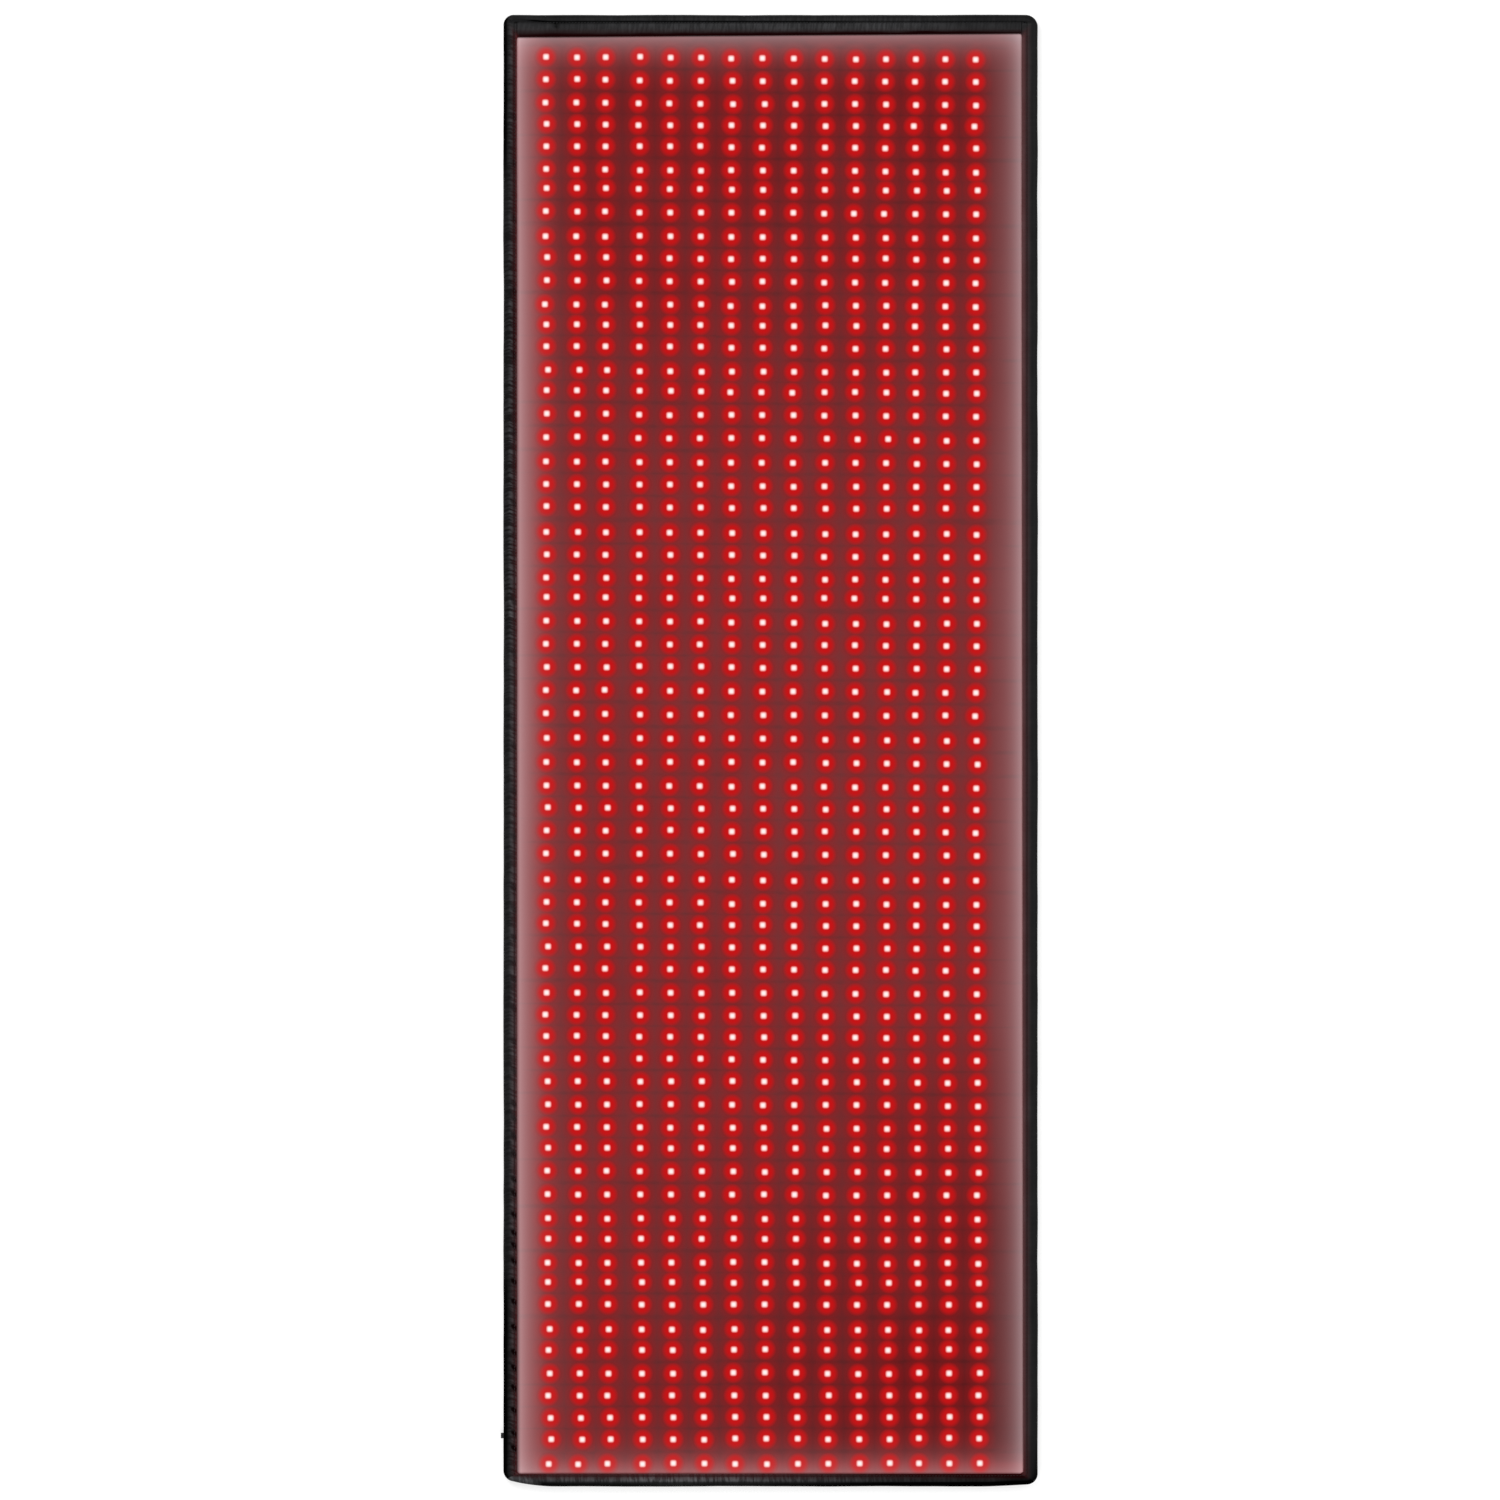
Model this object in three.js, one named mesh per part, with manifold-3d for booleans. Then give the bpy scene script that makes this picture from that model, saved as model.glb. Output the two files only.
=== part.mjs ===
// A full-body red light therapy mat, flat and light side up. A black sewn border holds a frosted
// window, and behind the window rows of red LEDs are stuck to a fabric carrier on a foam core.
// Millimetres. +Y points to the head end, +X to the mat's right, +Z up. The origin is on the
// underside, midway between the long edges and midway between the ends.

import * as THREE from "three";
import { mergeVertices } from "three/addons/utils/BufferGeometryUtils.js";
import Module from "manifold-3d";

const wasm = await Module();
wasm.setup();

// Outline of the mat. Its binding draws the foot edge up towards both corners.
const matLength = 1600;
const matWidth = 580;
const headCornerRadius = 10;
const footCornerRadius = 12;
const innerCornerRadius = 3;
const footRiseLeft = 6;
const footRiseRight = 2;
const footRunLeft = 45;
const footRunRight = 60;
const cornerSteps = 3;
const footSteps = 4;

// Thickness of each layer, from the back to the lit side, and the air between two layers.
const layerGap = 0.3;
const coverThickness = 1;
const foamThickness = 4;
const carrierThickness = 0.6;
const boardThickness = 0.3;
const ledHeight = 1.6;
const windowThickness = 0.5;
const tapeThickness = 1;
const bindingThickness = 1;

// Border: the width of the binding's upper lip, and of the whole border beside the window.
const lipWidth = 11;
const headLipWidth = 7.6;
const borderLeft = 14;
const borderRightHead = 17;
const borderRightFoot = 14.5;
const borderHeadLeft = 24;
const borderHeadRight = 20;
const borderFoot = 14;
const rollSteps = 6;
const threadThickness = 0.8;

// LED strip: packages in units of three, a wider joint after the first unit, rows in panels.
const ledSide = 5;
const ledPitch = 33.3;
const ledsPerUnit = 3;
const jointGap = 1.2;
const boardWidth = 10;
const rowPitch = 24.74;
const rowsPerPanel = 3;
const railWidth = 5;
const stripMarginLeft = 15.5;
const rowMarginHead = 22.7;
const rowMarginFoot = 6;

// The strips are laid by hand: rows wander along the mat, lean a little, and slip at the foot.
const rowWander = 3.9;
const rowWanderTurns = 1.35;
const rowWanderPhaseDegrees = 131;
const rowLeanDegrees = 0.39;
const footLeanShare = 1.4;
const footSlip = 4.4;
const slipPower = 5;

// Copper bus tape down each side, and the tails that join the panels to it.
const busWidth = 10;
const busThickness = 0.3;
const busClearance = 2.2;
const busOverrun = 12;
const busFootMargin = 3;
const tailLength = 9.5;
const tailWidth = 4;
const tailThickness = 0.3;
const tailLap = 3;
const solderSink = 0.1;

// Rubber gland for the power lead, in the left edge near the foot.
const glandFromFoot = 55.3;
const glandHeight = 4.9;
const glandProud = 3.3;
const glandRadius = 3;
const glandWall = 0.8;
const glandRim = 0.5;
const glandFlangeThickness = 1.2;
const glandSleeve = 1.5;
const glandSides = 16;
const pocketReach = 14.5;
const pocketWidth = 12;

// Insulated wires from the gland to the two bus tapes.
const wireRadius = 0.75;
const wireSpacing = 2.4;
const wireSides = 8;
const wireStraight = 1.2;
const wireClimb = 2.7;
const wireLaneInset = 12.4;
const wireBend = 1;
const wireBendSteps = 2;

// Runs past what it cuts.
const overrun = 5;

// Heights of the layers, stacked from the underside.
const foamBase = coverThickness + layerGap;
const foamTop = foamBase + foamThickness;
const carrierBase = foamTop + layerGap;
const carrierTop = carrierBase + carrierThickness;
const boardBase = carrierTop + layerGap;
const boardTop = boardBase + boardThickness;
const windowBase = boardTop + ledHeight + layerGap;
const windowTop = windowBase + windowThickness;
const tapeBase = windowTop + layerGap;
const tapeTop = tapeBase + tapeThickness;
const lipBase = tapeTop + layerGap;
const matHeight = lipBase + bindingThickness;
const rollRadius = matHeight / 2;

// Edges of the window.
const windowLeft = borderLeft - matWidth / 2;
const windowRightHead = matWidth / 2 - borderRightHead;
const windowRightFoot = matWidth / 2 - borderRightFoot;
const windowHeadLeft = matLength / 2 - borderHeadLeft;
const windowHeadRight = matLength / 2 - borderHeadRight;
const windowFoot = borderFoot - matLength / 2;

// How far each strip reaches, and how many LEDs and panels the window has room for.
const unitLength = ledPitch * ledsPerUnit;
const stripLeft = windowLeft + stripMarginLeft;
const stripRoom = windowRightHead - busWidth - busClearance - footSlip - jointGap - stripLeft;
const ledCount = ledsPerUnit * Math.floor(stripRoom / unitLength);
const stripLength = ledPitch * ledCount + jointGap;
const firstRow = (windowHeadLeft + windowHeadRight) / 2 - rowMarginHead;
const rowRoom = firstRow + rowPitch - windowFoot - rowMarginFoot;
const panelCount = Math.floor(rowRoom / (rowPitch * rowsPerPanel));
const rowCount = panelCount * rowsPerPanel;

const faux = new THREE.MeshStandardMaterial({ color: 0x29292c, roughness: 0.6 });
const backing = new THREE.MeshStandardMaterial({ color: 0x242427, roughness: 0.65 });
const webbing = new THREE.MeshStandardMaterial({ color: 0x323236, roughness: 0.8 });
const thread = new THREE.MeshStandardMaterial({ color: 0x1c1c1e, roughness: 0.7 });
const foam = new THREE.MeshStandardMaterial({ color: 0x3c3c40, roughness: 0.95 });
const fabric = new THREE.MeshStandardMaterial({ color: 0x1a1012, roughness: 0.9 });
const film = new THREE.MeshStandardMaterial({ color: 0x7d3436, roughness: 0.45 });
const board = new THREE.MeshStandardMaterial({ color: 0xd8a9a4, roughness: 0.5 });
const copper = new THREE.MeshStandardMaterial({ color: 0xb87349, roughness: 0.35, metalness: 0.9 });
const rubber = new THREE.MeshStandardMaterial({ color: 0x1b1b1c, roughness: 0.8 });
const redSheath = new THREE.MeshStandardMaterial({ color: 0xa01418, roughness: 0.4 });
const blackSheath = new THREE.MeshStandardMaterial({ color: 0x151516, roughness: 0.4 });

const mat = new THREE.Group();

function addPiece(name, geometry, material) {
  const piece = new THREE.Mesh(geometry, material);
  piece.name = name;
  mat.add(piece);
  return piece;
}

// A closed geometry as a solid that can be joined and cut, and back again.
function toSolid(geometry) {
  const bare = geometry.clone();
  bare.deleteAttribute("normal");
  bare.deleteAttribute("uv");
  const merged = mergeVertices(bare);
  const vertProperties = merged.attributes.position.array;
  const triVerts = new Uint32Array(merged.index.array);
  return new wasm.Manifold(new wasm.Mesh({ numProp: 3, vertProperties, triVerts }));
}

function toGeometry(solid) {
  const mesh = solid.getMesh();
  const geometry = new THREE.BufferGeometry();
  geometry.setAttribute("position", new THREE.BufferAttribute(mesh.vertProperties, 3));
  geometry.setIndex(new THREE.BufferAttribute(mesh.triVerts, 1));
  return geometry;
}

// A box given by its lowest and highest corner.
function boxBetween(low, high) {
  const size = high.clone().sub(low);
  const box = new THREE.BoxGeometry(size.x, size.y, size.z);
  const middle = low.clone().add(high).multiplyScalar(1 / 2);
  return box.translate(middle.x, middle.y, middle.z);
}

function point(x, y, z) {
  return new THREE.Vector3(x, y, z);
}

// A flat piece with the given outline, between two heights.
function plate(outline, base, top) {
  const shape = new THREE.Shape(outline);
  const geometry = new THREE.ExtrudeGeometry(shape, { depth: top - base, bevelEnabled: false });
  return geometry.translate(0, 0, base);
}

function evenInset(inset) {
  return { left: inset, right: inset, head: inset, foot: inset };
}

// Half of a round corner. The halves of one corner end layerGap apart, on its middle.
function halfCorner(centre, radius, startDegrees, isSecondHalf) {
  const onArc = (degrees) => {
    const angle = THREE.MathUtils.degToRad(degrees);
    return new THREE.Vector2(Math.cos(angle), Math.sin(angle)).multiplyScalar(radius).add(centre);
  };
  const middle = startDegrees + 45;
  const along = onArc(middle + 90).sub(centre).setLength(layerGap / 2);
  const points = [];
  if (isSecondHalf) {
    points.push(onArc(middle).add(along));
    for (let step = 1; step <= cornerSteps; step += 1) {
      points.push(onArc(middle + (45 * step) / cornerSteps));
    }
  } else {
    for (let step = 0; step < cornerSteps; step += 1) {
      points.push(onArc(startDegrees + (45 * step) / cornerSteps));
    }
    points.push(onArc(middle).sub(along));
  }
  return points;
}

// The mat's outline drawn in from its four sides, as four anticlockwise runs that each go from
// the middle of one corner to the middle of the next.
function sideRuns(inset) {
  const left = inset.left - matWidth / 2;
  const right = matWidth / 2 - inset.right;
  const head = matLength / 2 - inset.head;
  const foot = inset.foot - matLength / 2;
  const headRadius = Math.max(headCornerRadius - inset.left, innerCornerRadius);
  const footRadius = Math.max(footCornerRadius - inset.left, innerCornerRadius);
  const footLeftEnd = foot + footRiseLeft;
  const footRightEnd = foot + footRiseRight;
  const headRight = new THREE.Vector2(right - headRadius, head - headRadius);
  const headLeft = new THREE.Vector2(left + headRadius, head - headRadius);
  const footLeft = new THREE.Vector2(left + footRadius, footLeftEnd + footRadius);
  const footRight = new THREE.Vector2(right - footRadius, footRightEnd + footRadius);
  const footEdge = [];
  for (let step = 1; step <= footSteps; step += 1) {
    const along = step / footSteps;
    const x = footLeft.x + footRunLeft * along;
    footEdge.push(new THREE.Vector2(x, foot + footRiseLeft * (1 - along) ** 2));
  }
  for (let step = 0; step < footSteps; step += 1) {
    const along = step / footSteps;
    const x = footRight.x - footRunRight * (1 - along);
    footEdge.push(new THREE.Vector2(x, foot + footRiseRight * along ** 2));
  }
  return {
    head: [
      ...halfCorner(headRight, headRadius, 0, true),
      ...halfCorner(headLeft, headRadius, 90, false),
    ],
    left: [
      ...halfCorner(headLeft, headRadius, 90, true),
      ...halfCorner(footLeft, footRadius, 180, false),
    ],
    foot: [
      ...halfCorner(footLeft, footRadius, 180, true),
      ...footEdge,
      ...halfCorner(footRight, footRadius, 270, false),
    ],
    right: [
      ...halfCorner(footRight, footRadius, 270, true),
      ...halfCorner(headRight, headRadius, 0, false),
    ],
  };
}

function matOutline(inset) {
  const runs = sideRuns(inset);
  return [...runs.head, ...runs.left, ...runs.foot, ...runs.right];
}

// A closed skin over loops of points. With an outline it gets a flat cap at its first and last
// loop, and without one the last loop joins the first.
function skin(loops, capOutline) {
  const size = loops[0].length;
  const positions = loops.flat().flatMap((corner) => corner.toArray());
  const indices = [];
  const joinCount = capOutline ? loops.length - 1 : loops.length;
  for (let join = 0; join < joinCount; join += 1) {
    const from = join * size;
    const to = ((join + 1) % loops.length) * size;
    for (let index = 0; index < size; index += 1) {
      const next = (index + 1) % size;
      indices.push(from + index, from + next, to + next);
      indices.push(from + index, to + next, to + index);
    }
  }
  if (capOutline) {
    const last = (loops.length - 1) * size;
    const isClockwise = THREE.ShapeUtils.isClockWise(capOutline);
    for (const [a, b, c] of THREE.ShapeUtils.triangulateShape(capOutline, [])) {
      const [second, third] = isClockwise ? [c, b] : [b, c];
      indices.push(a, third, second);
      indices.push(last + a, last + second, last + third);
    }
  }
  const geometry = new THREE.BufferGeometry();
  geometry.setAttribute("position", new THREE.Float32BufferAttribute(positions, 3));
  geometry.setIndex(indices);
  return geometry;
}

// Where the binding's inner wall leaves room at a height, measured in from the mat's edge.
function rollInset(height) {
  const innerRadius = rollRadius - bindingThickness - layerGap;
  const rise = Math.min(Math.abs(height - rollRadius), innerRadius);
  return rollRadius - Math.sqrt(innerRadius ** 2 - rise ** 2);
}

// The binding's section, anticlockwise: half round inside, flat lip, half round outside.
function bindingSection() {
  const lip = { left: lipWidth, right: lipWidth, head: headLipWidth, foot: lipWidth };
  const onRoll = (radius, step) => {
    const angle = Math.PI * (step / rollSteps - 1 / 2);
    const inset = evenInset(rollRadius - radius * Math.cos(angle));
    return { inset, height: rollRadius + radius * Math.sin(angle) };
  };
  const section = [];
  for (let step = 0; step <= rollSteps; step += 1) {
    section.push(onRoll(rollRadius - bindingThickness, step));
  }
  section.push({ inset: lip, height: lipBase });
  section.push({ inset: lip, height: matHeight });
  for (let step = rollSteps; step >= 0; step -= 1) {
    section.push(onRoll(rollRadius, step));
  }
  return section;
}

// One side's binding, its section carried from corner to corner.
function bindingSide(side) {
  const section = bindingSection();
  const runs = section.map((corner) => sideRuns(corner.inset)[side]);
  const loops = runs[0].map((_, index) =>
    section.map((corner, level) => {
      const { x, y } = runs[level][index];
      return point(x, y, corner.height);
    }),
  );
  const capOutline = section.map((corner) => new THREE.Vector2(corner.inset[side], corner.height));
  return skin(loops, capOutline);
}

// Rear cover: a flat sheet that meets the binding edge to edge.
const coverOutline = matOutline(evenInset(rollRadius + layerGap));
addPiece("rear_cover", plate(coverOutline, 0, coverThickness), backing);

// The gland's place, with its flange as far in as the binding's wall asks at the flange's foot,
// and the pocket for it and its wires in the foam and the carrier.
const edgeLeft = -matWidth / 2;
const glandY = glandFromFoot - matLength / 2;
const glandBoreRadius = glandRadius - glandWall;
const glandFlangeRadius = glandRadius + glandRim;
const glandFlange = rollInset(glandHeight - glandFlangeRadius);
const glandEnd = glandFlange + glandFlangeThickness + glandSleeve;
const pocketBox = boxBetween(
  point(edgeLeft - overrun, glandY - pocketWidth / 2, coverThickness - overrun),
  point(edgeLeft + pocketReach, glandY + pocketWidth / 2, windowBase),
);
const pocket = toSolid(pocketBox);

// Foam core: its edge is rounded to fill the lower half of the roll.
const foamLevels = [];
for (let step = 0; step <= rollSteps / 2; step += 1) {
  const height = foamBase + (foamThickness * step * 2) / rollSteps;
  foamLevels.push({ inset: rollInset(height), height });
}
const foamLoops = foamLevels.map((level) =>
  matOutline(evenInset(level.inset)).map((corner) => point(corner.x, corner.y, level.height)),
);
const foamBlock = toSolid(skin(foamLoops, matOutline(evenInset(foamLevels[0].inset))));
addPiece("foam_core", toGeometry(foamBlock.subtract(pocket)), foam);

// Fabric carrier.
const carrierOutline = matOutline(evenInset(rollInset(carrierBase)));
const carrierSheet = toSolid(plate(carrierOutline, carrierBase, carrierTop));
addPiece("led_carrier", toGeometry(carrierSheet.subtract(pocket)), fabric);

// One panel: strips joined by a rail at both ends, LED packages, and a tail over each bus tape.
// Its origin is at the left end of its middle strip, on the carrier side of the board.
function ledPanel() {
  const halfHeight = (rowPitch * (rowsPerPanel - 1) + boardWidth) / 2;
  const outline = new THREE.Shape();
  outline.moveTo(0, -halfHeight);
  outline.lineTo(stripLength, -halfHeight);
  outline.lineTo(stripLength, halfHeight);
  outline.lineTo(0, halfHeight);
  for (let row = 1; row < rowsPerPanel; row += 1) {
    const low = boardWidth - halfHeight + rowPitch * (row - 1);
    const high = low + rowPitch - boardWidth;
    const opening = new THREE.Path();
    opening.moveTo(railWidth, low);
    opening.lineTo(railWidth, high);
    opening.lineTo(stripLength - railWidth, high);
    opening.lineTo(stripLength - railWidth, low);
    outline.holes.push(opening);
  }
  const flat = { depth: boardThickness, bevelEnabled: false };
  const parts = [new THREE.ExtrudeGeometry(outline, flat)];
  for (let row = 0; row < rowsPerPanel; row += 1) {
    const y = rowPitch * (row - (rowsPerPanel - 1) / 2);
    for (let led = 0; led < ledCount; led += 1) {
      const x = ledPitch * (led + 1 / 2) + (led < ledsPerUnit ? 0 : jointGap);
      const low = point(x - ledSide / 2, y - ledSide / 2, boardThickness - solderSink);
      const high = point(x + ledSide / 2, y + ledSide / 2, boardThickness + ledHeight);
      parts.push(boxBetween(low, high));
    }
  }
  const tailBase = busThickness + layerGap;
  const tailTop = tailBase + tailThickness;
  const padBase = boardThickness - solderSink;
  for (const [from, to] of [[-tailLength, tailLap], [stripLength - tailLap, stripLength + tailLength]]) {
    const strapEnd = point(to, tailWidth / 2, tailTop);
    parts.push(boxBetween(point(from, -tailWidth / 2, tailBase), strapEnd));
    const padEnd = point(Math.min(to, stripLength), tailWidth / 2, tailTop);
    parts.push(boxBetween(point(Math.max(from, 0), -tailWidth / 2, padBase), padEnd));
  }
  return toGeometry(wasm.Manifold.union(parts.map(toSolid)));
}

// The panels, from the head to the foot, each with its share of the rows' wander.
const panelGeometry = ledPanel();
const tailRows = [];
for (let panel = 0; panel < panelCount; panel += 1) {
  const row = panel * rowsPerPanel + (rowsPerPanel - 1) / 2;
  const along = row / (rowCount - 1);
  const phase = THREE.MathUtils.degToRad(rowWanderPhaseDegrees);
  const wander = rowWander * Math.sin(2 * Math.PI * rowWanderTurns * along + phase);
  const lean = THREE.MathUtils.degToRad(rowLeanDegrees) * (footLeanShare * along ** slipPower - 1);
  const piece = addPiece(`led_panel_${String(panel + 1).padStart(2, "0")}`, panelGeometry, board);
  const middleY = firstRow - rowPitch * row - wander;
  const leftY = middleY - (Math.sin(lean) * stripLength) / 2;
  piece.position.set(stripLeft + footSlip * along ** slipPower, leftY, boardBase);
  piece.rotation.z = lean;
  tailRows.push(middleY);
}

// Bus tapes, past the strips' ends, from above the first tail to the foot.
const busHead = tailRows[0] + busOverrun;
const busFoot = windowFoot + busFootMargin;
const positiveRight = stripLeft - busClearance;
const positiveLeft = positiveRight - busWidth;
const negativeLeft = stripLeft + stripLength + footSlip + busClearance;
const negativeRight = negativeLeft + busWidth;
for (const [name, left, right] of [
  ["bus_positive", positiveLeft, positiveRight],
  ["bus_negative", negativeLeft, negativeRight],
]) {
  const low = point(left, busFoot, boardBase);
  addPiece(name, boxBetween(low, point(right, busHead, boardBase + busThickness)), copper);
}

// An insulated wire along straight runs with rounded bends.
function wire(corners) {
  const path = new THREE.CurvePath();
  let from = corners[0];
  for (let index = 1; index < corners.length - 1; index += 1) {
    const corner = corners[index];
    const before = corner.clone().add(from.clone().sub(corner).setLength(wireBend));
    const after = corner.clone().add(corners[index + 1].clone().sub(corner).setLength(wireBend));
    path.add(new THREE.LineCurve3(from, before));
    path.add(new THREE.QuadraticBezierCurve3(before, corner, after));
    from = after;
  }
  path.add(new THREE.LineCurve3(from, corners[corners.length - 1]));
  const centres = path.getPoints(wireBendSteps);
  const loops = centres.map((centre, index) => {
    const previous = centres[Math.max(index - 1, 0)];
    const following = centres[Math.min(index + 1, centres.length - 1)];
    const direction = following.clone().sub(previous).normalize();
    const side = new THREE.Vector3(0, 0, 1).cross(direction).normalize();
    const rise = direction.clone().cross(side);
    const loop = [];
    for (let step = 0; step < wireSides; step += 1) {
      const angle = (2 * Math.PI * step) / wireSides;
      const offset = side.clone().multiplyScalar(Math.cos(angle));
      offset.addScaledVector(rise, Math.sin(angle));
      loop.push(centre.clone().addScaledVector(offset, wireRadius));
    }
    return loop;
  });
  const capOutline = [];
  for (let step = 0; step < wireSides; step += 1) {
    const angle = (2 * Math.PI * step) / wireSides;
    capOutline.push(new THREE.Vector2(Math.cos(angle), Math.sin(angle)));
  }
  return skin(loops, capOutline);
}

// Both wires leave the gland side by side and climb through the pocket onto the carrier.
// The positive one meets its tape's edge, and the negative one goes round under the border.
const wireStart = edgeLeft + glandEnd + layerGap;
const wireLevel = carrierTop + layerGap + wireRadius;
const positiveY = glandY + wireSpacing / 2;
const negativeY = glandY - wireSpacing / 2;
const leftLane = edgeLeft + wireLaneInset;
const footLane = wireLaneInset - matLength / 2;
const negativeX = (negativeLeft + negativeRight) / 2;
const climbStart = wireStart + wireStraight;
const climbEnd = climbStart + wireClimb;
const positiveCorners = [
  point(wireStart, positiveY, glandHeight),
  point(climbStart, positiveY, glandHeight),
  point(climbEnd, positiveY, wireLevel),
  point(positiveLeft - layerGap, positiveY, wireLevel),
];
const negativeCorners = [
  point(wireStart, negativeY, glandHeight),
  point(climbStart, negativeY, glandHeight),
  point(leftLane, negativeY, wireLevel),
  point(leftLane, footLane, wireLevel),
  point(negativeX, footLane, wireLevel),
  point(negativeX, busFoot - layerGap, wireLevel),
];
addPiece("feed_wire_positive", wire(positiveCorners), redSheath);
addPiece("feed_wire_negative", wire(negativeCorners), blackSheath);

// Frosted window film over the whole lit side.
const windowOutline = matOutline(evenInset(rollInset(windowTop)));
addPiece("front_window", plate(windowOutline, windowBase, windowTop), film);

// Hem tapes: a sheet as wide as the roll allows, cut along the window's four edges.
const tapeOutline = matOutline(evenInset(rollInset(tapeTop)));
const tapeSheet = toSolid(plate(tapeOutline, tapeBase, tapeTop));
const farX = matWidth / 2 + overrun;
const farY = matLength / 2 + overrun;
const tapeAreas = {
  hem_tape_left: [[-farX, -farY], [windowLeft, -farY], [windowLeft, farY], [-farX, farY]],
  hem_tape_right: [[windowRightFoot, -farY], [farX, -farY], [farX, farY], [windowRightHead, farY]],
  hem_tape_head: [
    [windowLeft + layerGap, windowHeadLeft],
    [windowRightHead - layerGap, windowHeadRight],
    [windowRightHead - layerGap, farY],
    [windowLeft + layerGap, farY],
  ],
  hem_tape_foot: [
    [windowLeft + layerGap, -farY],
    [windowRightFoot - layerGap, -farY],
    [windowRightFoot - layerGap, windowFoot],
    [windowLeft + layerGap, windowFoot],
  ],
};
for (const [name, corners] of Object.entries(tapeAreas)) {
  const outline = corners.map(([x, y]) => new THREE.Vector2(x, y));
  const area = toSolid(plate(outline, windowTop, matHeight));
  addPiece(name, toGeometry(tapeSheet.intersect(area)), webbing);
}

// Binding on each side. The left one has the hole that the gland sits in.
const glandHole = new THREE.CylinderGeometry(
  glandRadius + layerGap,
  glandRadius + layerGap,
  2 * glandEnd,
  glandSides,
);
glandHole.rotateZ(Math.PI / 2);
glandHole.translate(edgeLeft, glandY, glandHeight);
for (const side of ["left", "right", "head", "foot"]) {
  let strip = bindingSide(side);
  if (side === "left") {
    strip = toGeometry(toSolid(strip).subtract(toSolid(glandHole)));
  }
  addPiece(`binding_${side}`, strip, faux);
}

// Seam thread, one line round the binding's inner edge, in the step down to the hem tape.
const threadInsets = [layerGap, layerGap + threadThickness].map((beside) => ({
  left: lipWidth + beside,
  right: lipWidth + beside,
  head: headLipWidth + beside,
  foot: lipWidth + beside,
}));
const threadRuns = threadInsets.map(matOutline);
const threadLoops = threadRuns[0].map((outer, index) => {
  const inner = threadRuns[1][index];
  return [
    point(outer.x, outer.y, lipBase),
    point(inner.x, inner.y, lipBase),
    point(inner.x, inner.y, lipBase + threadThickness),
    point(outer.x, outer.y, lipBase + threadThickness),
  ];
});
addPiece("seam_thread", skin(threadLoops), thread);

// Lead gland: a nose that stands out of the edge, a flange behind the binding, and a sleeve.
const glandProfile = [
  [glandBoreRadius, -glandProud],
  [glandRadius, -glandProud],
  [glandRadius, glandFlange],
  [glandFlangeRadius, glandFlange],
  [glandFlangeRadius, glandFlange + glandFlangeThickness],
  [glandRadius, glandFlange + glandFlangeThickness],
  [glandRadius, glandEnd],
  [glandBoreRadius, glandEnd],
  [glandBoreRadius, -glandProud],
].map(([radius, along]) => new THREE.Vector2(radius, along));
const gland = addPiece("lead_gland", new THREE.LatheGeometry(glandProfile, glandSides), rubber);
gland.rotation.z = -Math.PI / 2;
gland.position.set(edgeLeft, glandY, glandHeight);

export default mat;
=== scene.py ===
# %% [markdown]
# # A red light therapy mat
#
# A flexible mat that lies flat: a black sewn border round a frosted window, and rows of red LEDs
# behind the window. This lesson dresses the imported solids. Each soft solid gets a piece that is
# modelled in Blender in its place, and the firm ones keep their mesh and get a finish.

# %% Tools and the frame
import math
import random

import bmesh
import bpy
from mathutils import Matrix, Vector, noise


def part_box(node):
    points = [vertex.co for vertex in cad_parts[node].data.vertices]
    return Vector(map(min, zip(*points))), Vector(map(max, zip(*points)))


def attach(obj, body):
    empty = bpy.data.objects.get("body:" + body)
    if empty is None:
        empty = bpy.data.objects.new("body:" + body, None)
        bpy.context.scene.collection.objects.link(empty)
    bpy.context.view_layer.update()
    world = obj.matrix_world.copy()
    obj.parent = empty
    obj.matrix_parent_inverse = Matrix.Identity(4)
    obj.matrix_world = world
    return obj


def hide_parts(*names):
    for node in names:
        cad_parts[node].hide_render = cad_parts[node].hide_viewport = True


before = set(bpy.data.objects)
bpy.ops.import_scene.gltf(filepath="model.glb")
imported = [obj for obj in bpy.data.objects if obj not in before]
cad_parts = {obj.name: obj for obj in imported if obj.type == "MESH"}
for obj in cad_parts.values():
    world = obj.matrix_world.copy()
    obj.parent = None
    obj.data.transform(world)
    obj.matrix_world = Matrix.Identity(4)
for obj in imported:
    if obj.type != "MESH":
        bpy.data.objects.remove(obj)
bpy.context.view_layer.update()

# %% [markdown]
# ## The camera
#
# The mat is seen straight from above with its head end at the top. A long lens keeps the sides
# from leaning outwards. The picture isn't centred on the mat, so the camera stands off to the
# left by the same amount, and no lens shift is needed.

# %% Camera
MM = 0.001
PICTURE_SIDE = 1500
MM_PER_PIXEL = 1.0871
MAT_CENTRE_PIXEL = (770.6, 750.7)
LENS = 300.0
SENSOR = 36.0

window_low, window_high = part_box("front_window")
camera_data = bpy.data.cameras.new("camera")
camera_data.lens = LENS
camera_data.sensor_width = SENSOR
camera = bpy.data.objects.new("camera", camera_data)
bpy.context.scene.collection.objects.link(camera)
camera_height = window_high.z + PICTURE_SIDE * MM_PER_PIXEL * MM * LENS / SENSOR
camera.location = (
    (PICTURE_SIDE / 2 - MAT_CENTRE_PIXEL[0]) * MM_PER_PIXEL * MM,
    (MAT_CENTRE_PIXEL[1] - PICTURE_SIDE / 2) * MM_PER_PIXEL * MM,
    camera_height,
)
camera_data.clip_end = 3 * camera_height
bpy.context.scene.camera = camera
print("camera", tuple(round(v, 3) for v in camera.location))

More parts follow.
